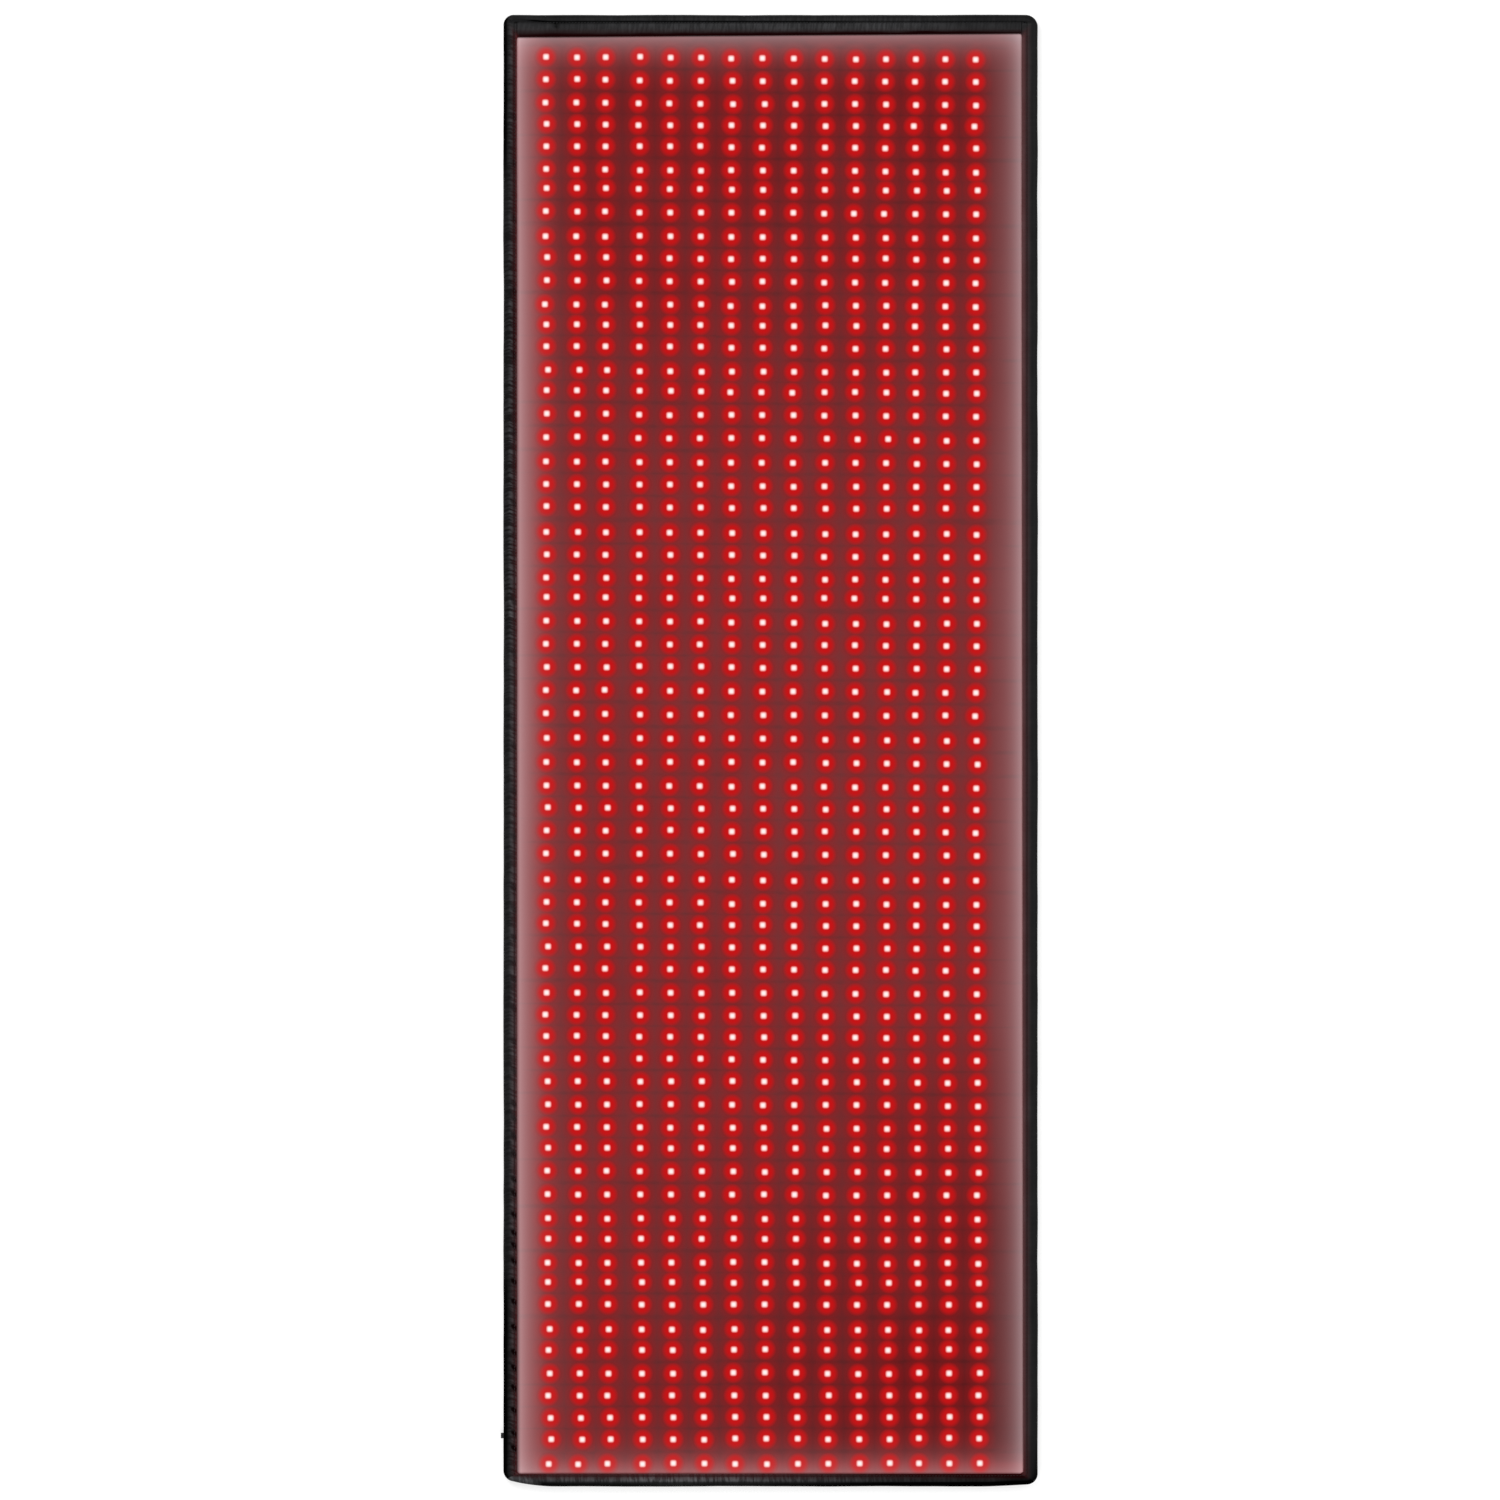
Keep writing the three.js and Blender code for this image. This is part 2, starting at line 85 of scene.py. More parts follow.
# %% [markdown]
# ## Writing shader maths as Python
#
# A node tree is easier to read as an expression. One small class wraps a socket, so that
# `1 - mask * 0.5` adds its own Math nodes. Every other node comes from the method `node`, which
# takes the node's type, its settings and its inputs.


# %% Sockets with arithmetic
BLACK = (0.0, 0.0, 0.0)


class Wire:
    def __init__(self, paint, socket):
        self.paint = paint
        self.socket = socket

    def maths(self, operation, *others):
        return self.paint.node("Math", {"operation": operation}, dict(enumerate([self, *others])))

    def __add__(self, other):
        return self.maths("ADD", other)

    def __sub__(self, other):
        return self.maths("SUBTRACT", other)

    def __rsub__(self, other):
        return self.paint.node("Math", {"operation": "SUBTRACT"}, {0: other, 1: self})

    def __mul__(self, other):
        return self.maths("MULTIPLY", other)

    def __pow__(self, other):
        return self.maths("POWER", other)

    __radd__ = __add__
    __rmul__ = __mul__

    def size(self):
        return self.maths("ABSOLUTE")

    def fade(self, reach):
        """1 where the value is 0, falling off with distance."""
        return (self * (-1 / reach)).maths("EXPONENT")

    def ramp(self, start, end):
        """0 at start and 1 at end, with soft shoulders."""
        settings = {"interpolation_type": "SMOOTHSTEP"}
        return self.paint.node("MapRange", settings, {0: self, 1: start, 2: end, 3: 0.0, 4: 1.0})


class Paint:
    def __init__(self, name, owner=None):
        self.material = owner or bpy.data.materials.new(name)
        self.material.use_nodes = True
        self.tree = self.material.node_tree
        self.tree.nodes.clear()

    def node(self, kind, settings, inputs, output=0):
        made = self.tree.nodes.new("ShaderNode" + kind)
        for name, value in settings.items():
            setattr(made, name, value)
        for key, value in inputs.items():
            if isinstance(value, Wire):
                self.tree.links.new(value.socket, made.inputs[key])
            else:
                made.inputs[key].default_value = value
        return Wire(self, made.outputs[output])

    def place(self):
        """Where a point is, in metres, on a piece whose object sits at the origin."""
        return self.node("TexCoord", {}, {}, "Object")

    def axes(self, vector):
        split = self.node("SeparateXYZ", {}, {0: vector}).socket.node
        return [Wire(self, socket) for socket in split.outputs]

    def map(self, name):
        return self.node("UVMap", {"uv_map": name}, {})

    def value(self, name):
        return self.node("Attribute", {"attribute_name": name}, {}, "Fac")

    def grain(self, scale, vector=None, detail=2.0):
        inputs = {"Vector": vector or self.place(), "Scale": scale, "Detail": detail}
        return self.node("TexNoise", {}, inputs)

    def stretched(self, vector, scale):
        return self.node("Mapping", {}, {"Vector": vector, "Scale": scale})

    def mix(self, mask, low, high):
        colours = [c if isinstance(c, Wire) else (*c, 1.0) for c in (low, high)]
        return self.node("Mix", {"data_type": "RGBA"}, {0: mask, 6: colours[0], 7: colours[1]}, 2)

    def bump(self, height, distance, strength=1.0, over=None):
        """Relief, by itself or over another relief."""
        inputs = {"Height": height, "Distance": distance, "Strength": strength}
        if over:
            inputs["Normal"] = over
        return self.node("Bump", {}, inputs)

    def finish(self, painted_shade_mask=None, **inputs):
        """Ends the tree with a Principled shader. An underscore in a name stands for a space. The painted
        shade mask marks painted shade so deep that the surface is drawn black there, with no sheen."""
        sockets = {}
        for name, value in inputs.items():
            sockets[name.replace("_", " ")] = (*value, 1.0) if isinstance(value, tuple) else value
        if "Emission Color" in sockets:
            sockets.setdefault("Emission Strength", 1.0)
            self.material.cycles.emission_sampling = "NONE"
        shader = self.node("BsdfPrincipled", {}, sockets)
        if painted_shade_mask:
            dead = {name: sockets[name] for name in ("Emission Color", "Emission Strength")}
            dead |= {"Base Color": (*BLACK, 1.0), "Specular IOR Level": 0.0}
            unlit = self.node("BsdfPrincipled", {}, dead)
            shader = self.node("MixShader", {}, {0: painted_shade_mask, 1: shader, 2: unlit})
        self.end(shader)
        return self.material

    def end(self, shader, kind="OutputMaterial"):
        end = self.tree.nodes.new("ShaderNode" + kind)
        self.tree.links.new(shader.socket, end.inputs["Surface"])

    def seen_directly(self):
        """1 for rays from the camera and for those that a mirror or glass passes on, else 0."""
        rays = self.node("LightPath", {}, {}).socket.node
        names = ("Is Camera Ray", "Is Glossy Ray", "Is Transmission Ray")
        seen, glossy, transmitted = (Wire(self, rays.outputs[name]) for name in names)
        return (seen + glossy + transmitted).maths("MINIMUM", 1.0)


print("shader helpers ready")

# %% [markdown]
# ## Floor and light
#
# The floor is pale and catches the mat's shadow. The camera, and mirrors and glass, see it as
# white, by a little light of its own that only those rays meet. The studio light is three soft
# boxes that stand round the mat, so that none is mirrored towards the camera above, and a dim
# white world fills what they leave. The floor lies a hair below the mat, so that the two don't
# share a plane.

# %% Floor
FLOOR_SIDE = 30.0
FLOOR_GREY = 0.41
FLOOR_OWN_LIGHT = 0.62
FLOOR_DROP = 0.1 * MM
WHITE = (1.0, 1.0, 1.0, 1.0)

floor_shape = bmesh.new()
bmesh.ops.create_grid(floor_shape, x_segments=1, y_segments=1, size=FLOOR_SIDE / 2)
bmesh.ops.translate(floor_shape, verts=floor_shape.verts, vec=(0, 0, -FLOOR_DROP))
floor_mesh = bpy.data.meshes.new("floor")
floor_shape.to_mesh(floor_mesh)
floor_shape.free()
floor = bpy.data.objects.new("floor", floor_mesh)
bpy.context.scene.collection.objects.link(floor)

paint = Paint("pale_floor")
matte = paint.node("BsdfDiffuse", {}, {"Color": (FLOOR_GREY,) * 3 + (1.0,)})
own_strength = paint.seen_directly() * FLOOR_OWN_LIGHT
own_light = paint.node("Emission", {}, {"Color": WHITE, "Strength": own_strength})
paint.end(paint.node("AddShader", {}, {0: matte, 1: own_light}))
floor_mesh.materials.append(paint.material)
print("floor", FLOOR_SIDE, "m")

# %% World and soft boxes
WORLD_STRENGTH = 0.34
BOX_DISTANCE = 3.4
BOX_SIZE = 2.6
BOX_HEIGHT = 2.6
# Compass turn in degrees from +X, and power in watts.
SOFT_BOXES = {"light_head_left": (128, 150), "light_right": (12, 95), "light_foot": (262, 80)}

bpy.context.scene.world = bpy.data.worlds.new("studio")
sky = Paint("studio", bpy.context.scene.world)
sky_strength = sky.seen_directly() * (1 - WORLD_STRENGTH) + WORLD_STRENGTH
sky.end(sky.node("Background", {}, {"Color": WHITE, "Strength": sky_strength}), "OutputWorld")
for name, (turn, power) in SOFT_BOXES.items():
    lamp = bpy.data.lights.new(name, "AREA")
    lamp.size = BOX_SIZE
    lamp.energy = power
    box = bpy.data.objects.new(name, lamp)
    bpy.context.scene.collection.objects.link(box)
    angle = math.radians(turn)
    box.location = (BOX_DISTANCE * math.cos(angle), BOX_DISTANCE * math.sin(angle), BOX_HEIGHT)
    box.rotation_euler = (-box.location).to_track_quat("-Z", "Y").to_euler()
bpy.context.scene.view_settings.view_transform = "Standard"
print("lamps", list(SOFT_BOXES))

# %% [markdown]
# ## Making a piece
#
# Every piece is drawn where it belongs, so its object stays at the origin. `make_piece` turns a
# bmesh into an object, gives it a finish, lets it ride on the mat's one body and hides the solid
# that it stands for. Most pieces start as a grid, whose corners are then moved one by one, and
# `grid` gives each corner with its column and its row.


# %% Piece helpers
def make_piece(name, shape, materials, stands_for=(), smooth=True):
    mesh = bpy.data.meshes.new(name)
    shape.to_mesh(mesh)
    shape.free()
    for material in materials:
        mesh.materials.append(material)
    if smooth:
        mesh.shade_smooth()
    piece = bpy.data.objects.new(name, mesh)
    bpy.context.scene.collection.objects.link(piece)
    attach(piece, "root")
    if stands_for:
        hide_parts(*stands_for)
    print(name, len(mesh.polygons), "faces")
    return piece


def thicken(piece, thickness):
    """Gives a sheet its thickness, behind the side that shows."""
    wall = piece.modifiers.new("wall", "SOLIDIFY")
    wall.thickness = thickness
    wall.offset = -1
    wall.use_even_offset = True


def grid(shape, columns, rows):
    """Adds a grid of faces, and lists its corners as (vertex, column, row)."""
    made = bmesh.ops.create_grid(shape, x_segments=columns, y_segments=rows, size=1)["verts"]
    return [(v, round((v.co.x + 1) / 2 * columns), round((v.co.y + 1) / 2 * rows)) for v in made]


def raise_faces(shape, faces, height):
    """Extrudes flat faces upwards, and lists the new corners."""
    raised = bmesh.ops.extrude_face_region(shape, geom=faces)["geom"]
    tops = [item for item in raised if isinstance(item, bmesh.types.BMVert)]
    bmesh.ops.translate(shape, verts=tops, vec=(0, 0, height))
    return tops


# %% [markdown]
# ## Values that change along a line
#
# A hand-made thing is never even. `stops` reads a value off a few chosen stops, `hump` is a soft
# bump of one width, and `ripple` is smooth noise along a side.


# %% Curves
def stops(pairs, at):
    """The value at a place, from a few (place, value) stops with straight stretches between."""
    for (low, value), (high, following) in zip(pairs, pairs[1:]):
        if at <= high:
            share = max(0.0, (at - low) / (high - low))
            return value + (following - value) * share
    return pairs[-1][1]


def smooth(value):
    value = min(max(value, 0.0), 1.0)
    return value * value * (3 - 2 * value)


def hump(distance, width):
    """1 at distance 0, falling to 0 at the width."""
    return smooth(1 - abs(distance) / width)


def ripple(way, length, second, third=0.0):
    """Noise from -1 to 1 with waves of a length. The last two numbers choose among such lines."""
    return noise.noise(Vector((way / length, second, third)))


print("a hump of width 2 is", hump(1, 2), "at 1")

# %% [markdown]
# ## The mat's edge
#
# Binding, tapes and thread all follow the mat's outline, drawn in by some inset from each side.
# A *run* is one side's share of that outline: from the middle of one round corner, along the
# side, to the middle of the next. Near its corners the foot edge is pulled up by the binding, by
# more on the left, and the pull dies away towards the window. The edge also wavers by a fraction
# of a millimetre. All the pieces of the border use this one function, so they stay parallel.

# %% Runs along the edge
CORNERS = {"head_right": 13 * MM, "head_left": 11 * MM, "foot_left": 12 * MM, "foot_right": 12 * MM}
INNER_CORNER = 3 * MM
FOOT_RISES = {"foot_left": 6 * MM, "foot_right": 2 * MM}
FOOT_RUNS = {"foot_left": 45 * MM, "foot_right": 60 * MM}
RISE_FADE = 14 * MM
WAVER = 0.5 * MM
WAVER_LENGTHS = (90 * MM, 28 * MM)
SIDE_SWELL = 0.42 * MM
MITRE_GAP = 0.05 * MM
CORNER_STEPS = 6
SIDES = ("head", "left", "foot", "right")
UPRIGHT = ("left", "right")
# The corners that a side runs between, anticlockwise, and the direction that its arc starts in.
SIDE_ENDS = {
    "head": ("head_right", "head_left", 0),
    "left": ("head_left", "foot_left", 90),
    "foot": ("foot_left", "foot_right", 180),
    "right": ("foot_right", "head_right", 270),
}
half_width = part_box("binding_right")[1].x
half_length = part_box("binding_head")[1].y
mat_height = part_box("binding_head")[1].z


def even(inset):
    return dict.fromkeys(SIDES, inset)


def side_length(side):
    return 2 * (half_length if side in UPRIGHT else half_width)


def lift(name, inset):
    """How far a corner of the foot edge is pulled up, at an inset."""
    return FOOT_RISES.get(name, 0) * max(0.0, 1 - inset / RISE_FADE)


def corner_arcs(insets):
    """Centre, radius and the tilt of its foot end, for each corner of an outline with these insets."""
    arcs = {}
    for name, full in CORNERS.items():
        end, side = name.split("_")
        radius = max(full - insets["left"], INNER_CORNER)
        raised = lift(name, insets[end])
        tilt = math.atan2(2 * raised, FOOT_RUNS.get(name, 1))
        x = half_width - insets[side] - radius
        y = half_length - insets[end] - radius * math.cos(tilt) - raised
        arcs[name] = (Vector((x if side == "right" else -x, y if end == "head" else -y, 0)), radius, tilt)
    return arcs


def foot_edge(x, arcs, insets):
    """Height of the foot edge in the picture at a place across the mat."""
    y = insets["foot"] - half_length
    for name in FOOT_RISES:
        centre, radius, tilt = arcs[name]
        end = centre.x + math.copysign(radius * math.sin(tilt), centre.x)
        share = abs(x - end) / FOOT_RUNS[name]
        if share < 1:
            y += lift(name, insets["foot"]) * (1 - share) ** 2
    return y


def inside_outline(point, inset):
    """The point, brought in to the outline at an inset."""
    arcs = corner_arcs(even(inset))
    for centre, radius, _ in arcs.values():
        out = Vector((point.x - centre.x, point.y - centre.y, 0))
        if out.x * centre.x > 0 and out.y * centre.y > 0 and out.length > radius:
            out = out.normalized() * radius
            return Vector((centre.x + out.x, centre.y + out.y, point.z))
    return Vector((point.x, max(point.y, foot_edge(point.x, arcs, even(inset))), point.z))


def towards(angle):
    return Vector((math.cos(angle), math.sin(angle), 0))


def side_run(side, insets, steps):
    """Points of one side's run, with a number of steps along its straight stretch."""
    arcs = corner_arcs(insets)
    first, second, start = SIDE_ENDS[side]
    halves = []
    for name, turn in ((first, start + 45), (second, start + 90)):
        centre, radius, tilt = arcs[name]
        low, high = math.radians(turn), math.radians(turn + 45)
        if side == "foot":
            low, high = (low + tilt, high) if name == second else (low, high - tilt)
        ways = [towards(low + (high - low) * step / CORNER_STEPS) for step in range(CORNER_STEPS + 1)]
        halves.append([(centre + radius * way_out, way_out) for way_out in ways])
    straight = []
    for step in range(1, steps):
        point = halves[0][-1][0].lerp(halves[1][0][0], step / steps)
        if side == "foot":
            point.y = foot_edge(point.x, arcs, insets)
        straight.append((point, towards(math.radians(start + 90))))
    run = []
    share = max(0.0, 1 - insets[side] / RISE_FADE)
    for point, way_out in halves[0] + straight + halves[1]:
        waver = noise.noise(point / WAVER_LENGTHS[0]) + 0.5 * noise.noise(point / WAVER_LENGTHS[1])
        run.append(point + way_out * share * (WAVER * waver + SIDE_SWELL * abs(way_out.x)))
    run[0] = run[0] + (run[1] - run[0]).normalized() * MITRE_GAP
    run[-1] = run[-1] + (run[-2] - run[-1]).normalized() * MITRE_GAP
    return run


print("mat", 2 * half_width, "by", 2 * half_length, "m,", mat_height, "m high")

# %% [markdown]
# ## A strip that follows a run
#
# The binding is a section that is swept along a run. Each corner of a grid is moved to its station
# along the run and its place round the section. A section point is an inset from the mat's edge
# and a height. Each corner also stores a few values that the material reads: the cloth's tone with
# painted shade and highlights, the painted red light of the LEDs beside the window, how much it is
# gathered, and its place along and across the strip. The hem tapes store the same values.

# %% Sweep a section along a run
SHADE_LAYERS = ("tone_and_painted_shade", "painted_red_light", "gather", "along", "inset")


def shaded_grid(columns, rows):
    """A new shape with a grid, and a way to store a corner's values."""
    shape = bmesh.new()
    layers = [shape.verts.layers.float.new(name) for name in SHADE_LAYERS]

    def store(vertex, values):
        for layer, value in zip(layers, values):
            vertex[layer] = value

    return shape, grid(shape, columns, rows), store


def face_up(shape):
    """Points the faces the same way, with the highest one looking up."""
    bmesh.ops.recalc_face_normals(shape, faces=shape.faces)
    if max(shape.faces, key=lambda face: face.calc_center_median().z).normal.z < 0:
        bmesh.ops.reverse_faces(shape, faces=shape.faces)


def sweep(side, section, spacing, relief, shade):
    """A strip along a side. The section is a list of (insets, height). Relief says how far a point
    stands proud of it, for its inset, its way along the side in X or Y, and its height."""
    steps = round(side_length(side) / spacing)
    runs = [side_run(side, insets, steps) for insets, _ in section]
    stations, rings = len(runs[0]) - 1, len(section) - 1
    shape, corners, store = shaded_grid(stations, rings)
    for vertex, station, ring in corners:
        run = runs[ring]
        insets, height = section[ring]
        inset = insets[side]
        way = run[station].y if side in UPRIGHT else run[station].x
        after, before = section[min(ring + 1, rings)], section[max(ring - 1, 0)]
        tilt = Vector((before[1] - after[1], after[0][side] - before[0][side])).normalized()
        proud = relief(inset, way, height)
        forward = run[min(station + 1, stations)] - run[max(station - 1, 0)]
        inward = Vector((-forward.y, forward.x, 0)).normalized()
        place = Vector((run[station].x, run[station].y, height))
        vertex.co = place + inward * tilt.x * proud + Vector((0, 0, tilt.y * proud))
        store(vertex, shade(inset, way))
    face_up(shape)
    return shape


print("a strip stores", SHADE_LAYERS)

# %% [markdown]
# ## Finish: leather cloth
#
# The border is coated cloth with a fine leather grain. Its colour comes from the tone that the
# mesh stores, which holds the cloth's own darkness together with painted shade and highlights,
# and from paler, rougher blotches. Grain at two sizes drives the bump: pebbles under a millimetre,
# and slack creases a few centimetres long. Where the seam has gathered the cloth, fine folds run
# across the strip: they have a bump, their crests carry a painted highlight and glints, and the
# lines between them painted shade. They follow the strip's own along and inset values, so they turn
# with it at the corners. Where the painted shade falls towards black, in a seam or under a roll,
# the cloth is drawn black with no sheen. The LEDs' red light beside the window is painted on as a
# glow.


# %% Leather cloth
LEATHER_TINT = (1.0, 0.99, 1.04)
# The LEDs' red light on the cloth beside the window is painted as a glow of this tint.
PAINTED_RED_LIGHT_TINT = (1.0, 0.03, 0.05)
FOLD_SCALE = (380.0, 60.0, 1.0)
CREASE_SCALE = (60.0, 140.0, 60.0)
DARKEST_PAINTED_FOLD_SHADE = 0.12


def leather_cloth(name, tone_and_painted_shade, roughness, grain_size, grain_depth):
    """Coated cloth. The tone, with any painted shade and highlights, is a number or the name of an
    attribute of the piece.
    """
    paint = Paint(name)
    blotch = paint.grain(38.0, detail=4.0)
    speck = paint.grain(1 / grain_size, detail=3.0)
    cells = {"Vector": paint.place(), "Scale": 1 / grain_size}
    pebbles = paint.node("TexVoronoi", {"feature": "SMOOTH_F1"}, cells)
    # Where the painted shade is deepest, the cloth is drawn black, with no sheen.
    painted_shade_mask = None
    if isinstance(tone_and_painted_shade, str):
        tone_and_painted_shade = paint.value(tone_and_painted_shade)
        painted_shade_mask = tone_and_painted_shade.ramp(0.004, 0.0)
    gather = paint.value("gather")
    strip_place = paint.node("CombineXYZ", {}, {0: paint.value("along"), 1: paint.value("inset")})
    folds = paint.grain(1.0, paint.stretched(strip_place, FOLD_SCALE), detail=4.0)
    # Painted light on the folds: highlights and glints on the crests, painted shade in the lines.
    crest = folds.ramp(0.42, 0.58)
    painted_glint = folds.ramp(0.6, 0.7)
    line = (folds - 0.42).size().ramp(0.03, 0.0)
    painted_fold_light_and_shade = 1 + gather * (crest * 1.1 - 0.6 + painted_glint * 0.8 - line * 0.4)
    paleness = (0.72 + blotch * 0.56) * (0.85 + speck * 0.3) * tone_and_painted_shade
    paleness = paleness * painted_fold_light_and_shade.maths("MAXIMUM", DARKEST_PAINTED_FOLD_SHADE)
    creases = paint.grain(1.0, paint.stretched(paint.place(), CREASE_SCALE), detail=3.0)
    pebbled = paint.bump(pebbles, grain_depth, 0.6)
    creased = paint.bump(creases, 0.6 * MM, 0.5, pebbled)
    return paint.finish(
        painted_shade_mask,
        Base_Color=paint.mix(paleness, BLACK, LEATHER_TINT),
        Roughness=blotch * 0.18 + roughness,
        Specular_IOR_Level=0.05,
        Normal=paint.bump(crest * gather, 0.25 * MM, 0.5, creased),
        Emission_Color=paint.mix(paint.value("painted_red_light"), BLACK, PAINTED_RED_LIGHT_TINT),
    )


border_leather = leather_cloth("border_leather_cloth", "tone_and_painted_shade", 0.42, 0.8 * MM, 0.12 * MM)
print(border_leather.name)

# %% [markdown]
# ## The binding
#
# A strip of leather cloth is turned round the edge of the mat. Its back edge lies level with the
# rear sheet. From there it goes round the edge as a soft roll and comes in over the lit side,
# where the seam pulls its edge down.

# %% Binding: sizes
LIP_REACH = {"left": 11 * MM, "right": 11 * MM, "head": 7.6 * MM, "foot": 11 * MM}
BINDING_WALL = 0.85 * MM
BINDING_SPACING = 2 * MM
ROLL_STEPS = 14
LIP_STEPS = 7
LIP_DROP = 0.55 * MM
PUCKER_PITCH = 9 * MM
PUCKER_SLANT = 0.9
PUCKER_HEIGHT = 0.09 * MM
PUCKER_INSET = 7 * MM
PUCKER_WIDTH = 6 * MM
DIMPLE_INSET = 11 * MM
DIMPLE_SIZE = (6 * MM, 5.6 * MM)
DIMPLE_SLANT = 0.6
DIMPLE_DEPTH = 0.5 * MM
SLACK_HEIGHT = 0.12 * MM
SLACK_LENGTH = 90 * MM
MITRE_SHARPNESS = 2.5
BAND_WIDTHS = {"left": 14 * MM, "right": 16 * MM, "head": 22 * MM, "foot": 14 * MM}
roll_radius = mat_height / 2


def binding_section():
    section = []
    for step in range(ROLL_STEPS + 1):
        angle = math.pi * (step / ROLL_STEPS - 1 / 2)
        height = roll_radius + roll_radius * math.sin(angle)
        section.append((even(roll_radius - roll_radius * math.cos(angle)), height))
    for step in range(1, LIP_STEPS + 1):
        share = step / LIP_STEPS
        insets = {side: roll_radius + (reach - roll_radius) * share for side, reach in LIP_REACH.items()}
        section.append((insets, mat_height - LIP_DROP * share ** 2))
    return section


print("binding's section has", len(binding_section()), "points")

# %% [markdown]
# On the left side the seam has gathered the cloth, and in the lower half it has pulled in a
# slanting dimple every two centimetres or so, with a puff of cloth between two dimples. Seeded
# chance spaces them unevenly. The head, right and foot sides are smoother.

# %% Binding: dimples and relief
# How far apart the left seam's dimples are, in millimetres, and how strong, at places up the mat.
DIMPLE_PITCH = [(-500, 22), (-180, 32), (0, 80)]
DIMPLE_STRENGTH = [(-500, 1.0), (-300, 0.5)]
# How far the dimples stay away from the foot and from the head.
DIMPLE_ENDS = (42 * MM, 50 * MM)


def dimple_places():
    """Where the left seam has pulled in a dimple, and how strongly."""
    pull = random.Random(21)
    places, way = [], -half_length + DIMPLE_ENDS[0]
    while way < half_length - DIMPLE_ENDS[1]:
        places.append((way, stops(DIMPLE_STRENGTH, way / MM)))
        way += stops(DIMPLE_PITCH, way / MM) * pull.uniform(0.6, 1.4) * MM
    return places


DIMPLES = dimple_places()


def pucker(inset, way):
    """Ribs that slant over the roll, from -1 to 1, strongest on its crest."""
    strength = 0.6 + 0.8 * ripple(way, 60 * MM, 3.0)
    phase = (way + inset * PUCKER_SLANT) / PUCKER_PITCH + ripple(way, 35 * MM, 7.0)
    return strength * math.sin(2 * math.pi * phase) * hump(inset - PUCKER_INSET, PUCKER_WIDTH)


def dimple(inset, way):
    """Hollows that the left seam has pulled in, from 0 to 1."""
    slant = way + (inset - DIMPLE_INSET) * DIMPLE_SLANT
    place, strength = min(DIMPLES, key=lambda one: abs(one[0] - slant))
    along, across = hump(slant - place, DIMPLE_SIZE[0]), hump(inset - DIMPLE_INSET, DIMPLE_SIZE[1])
    return strength * smooth(1.6 * along * across)


def border_relief(side):
    def relief(inset, way, height):
        if height < roll_radius:
            return 0.0
        slack = ripple(way, SLACK_LENGTH, float(SIDES.index(side))) * SLACK_HEIGHT
        proud = slack * smooth(height / roll_radius - 1)
        if side == "left":
            proud += pucker(inset, way) * PUCKER_HEIGHT - dimple(inset, way) * DIMPLE_DEPTH
        return proud

    return relief


print(len(DIMPLES), "dimples")

# %% [markdown]
# The cloth's tone in these ramps holds painted shade and highlights as well as its own darkness.
# Short ramps say how the cloth's tone changes across and along a side. Their stops were worked out
# to match the photo, and rounded. In a corner the two sides' values blend.

# %% Binding: tone across a side
# The border's tone with its painted shade and highlights at some insets from the mat's edge, in
# millimetres, and the painted red light of the LEDs that the cloth shows beside the window.
BORDER_TONES_AND_SHADE = {
    "left": [(0, 0.005), (5.5, 0.0045), (7.5, 0.0145), (9, 0.017), (10, 0.0155), (12, 0.006), (14, 0.012)],
    "right": [(0, 0.003), (6, 0.0075), (9.5, 0.014), (11, 0.012), (12.5, 0.0125), (15, 0.024)],
    "head": [
        (0, 0.0075), (3.5, 0.0075), (4.5, 0.012), (8, 0.012), (10, 0.0225), (15, 0.022), (19.5, 0.006),
    ],
    "foot": [
        (0, 0.0015), (4.5, 0.003), (6, 0.031), (7, 0.039), (8.5, 0.033), (11.5, 0.009), (12.5, 0.0055),
        (14, 0.012),
    ],
}
BORDER_PAINTED_RED_LIGHT = {
    "left": [(6.5, 0.0), (9, 0.008), (12, 0.021), (14, 0.052)],
    "right": [(6.5, 0.0), (9.5, 0.01), (12.5, 0.024), (15, 0.054)],
    "head": [(14.5, 0.0), (18, 0.007), (24, 0.01)],
    "foot": [(6.5, 0.0), (11.5, 0.024), (14, 0.04)],
}
# How the tone with its painted shade, and the gathers, change along a side: at places up the mat
# for the left and right side, and across it for the head and foot side, in millimetres.
TONE_AND_SHADE_ALONG = {
    "left": [(-620, 0.6), (-430, 1.15), (-220, 1.4), (270, 1.3), (600, 0.8)],
    "right": [(-795, 0.3), (-740, 1.0)],
    "head": [(-265, 0.75), (-227, 0.5), (-175, 0.9), (140, 1.0), (220, 0.6)],
    "foot": [(-250, 0.65), (-160, 0.85), (-120, 1.4), (-30, 1.0), (140, 0.2), (220, 0.12), (275, 0.06)],
}
GATHER_ALONG = {
    "left": [(-700, 1.0), (-600, 0.7), (110, 0.7), (150, 1.1), (530, 1.25), (600, 0.85)],
    "right": [(0, 0.08), (1, 0.08)],
    "head": [(-290, 0.2), (-130, 0.4), (120, 0.42), (200, 0.25)],
    "foot": [(-290, 0.6), (-100, 0.75), (290, 0.5)],
}
# Painted shade in two seam grooves: the left one beside the window, and the head one along the seam.
LEFT_GROOVE_SHADE = [(140, 0.0), (300, 0.4), (450, 0.95), (550, 0.6)]
LEFT_GROOVE_INSET = 11.4 * MM
LEFT_GROOVE_WIDTH = 2.8 * MM
HEAD_GROOVE_SHADE = [(-285, 0.5), (-255, 1.0), (60, 0.95), (110, 0.55), (250, 0.4)]
HEAD_GROOVE_INSET = 7.7 * MM
HEAD_GROOVE_WIDTH = 2.2 * MM
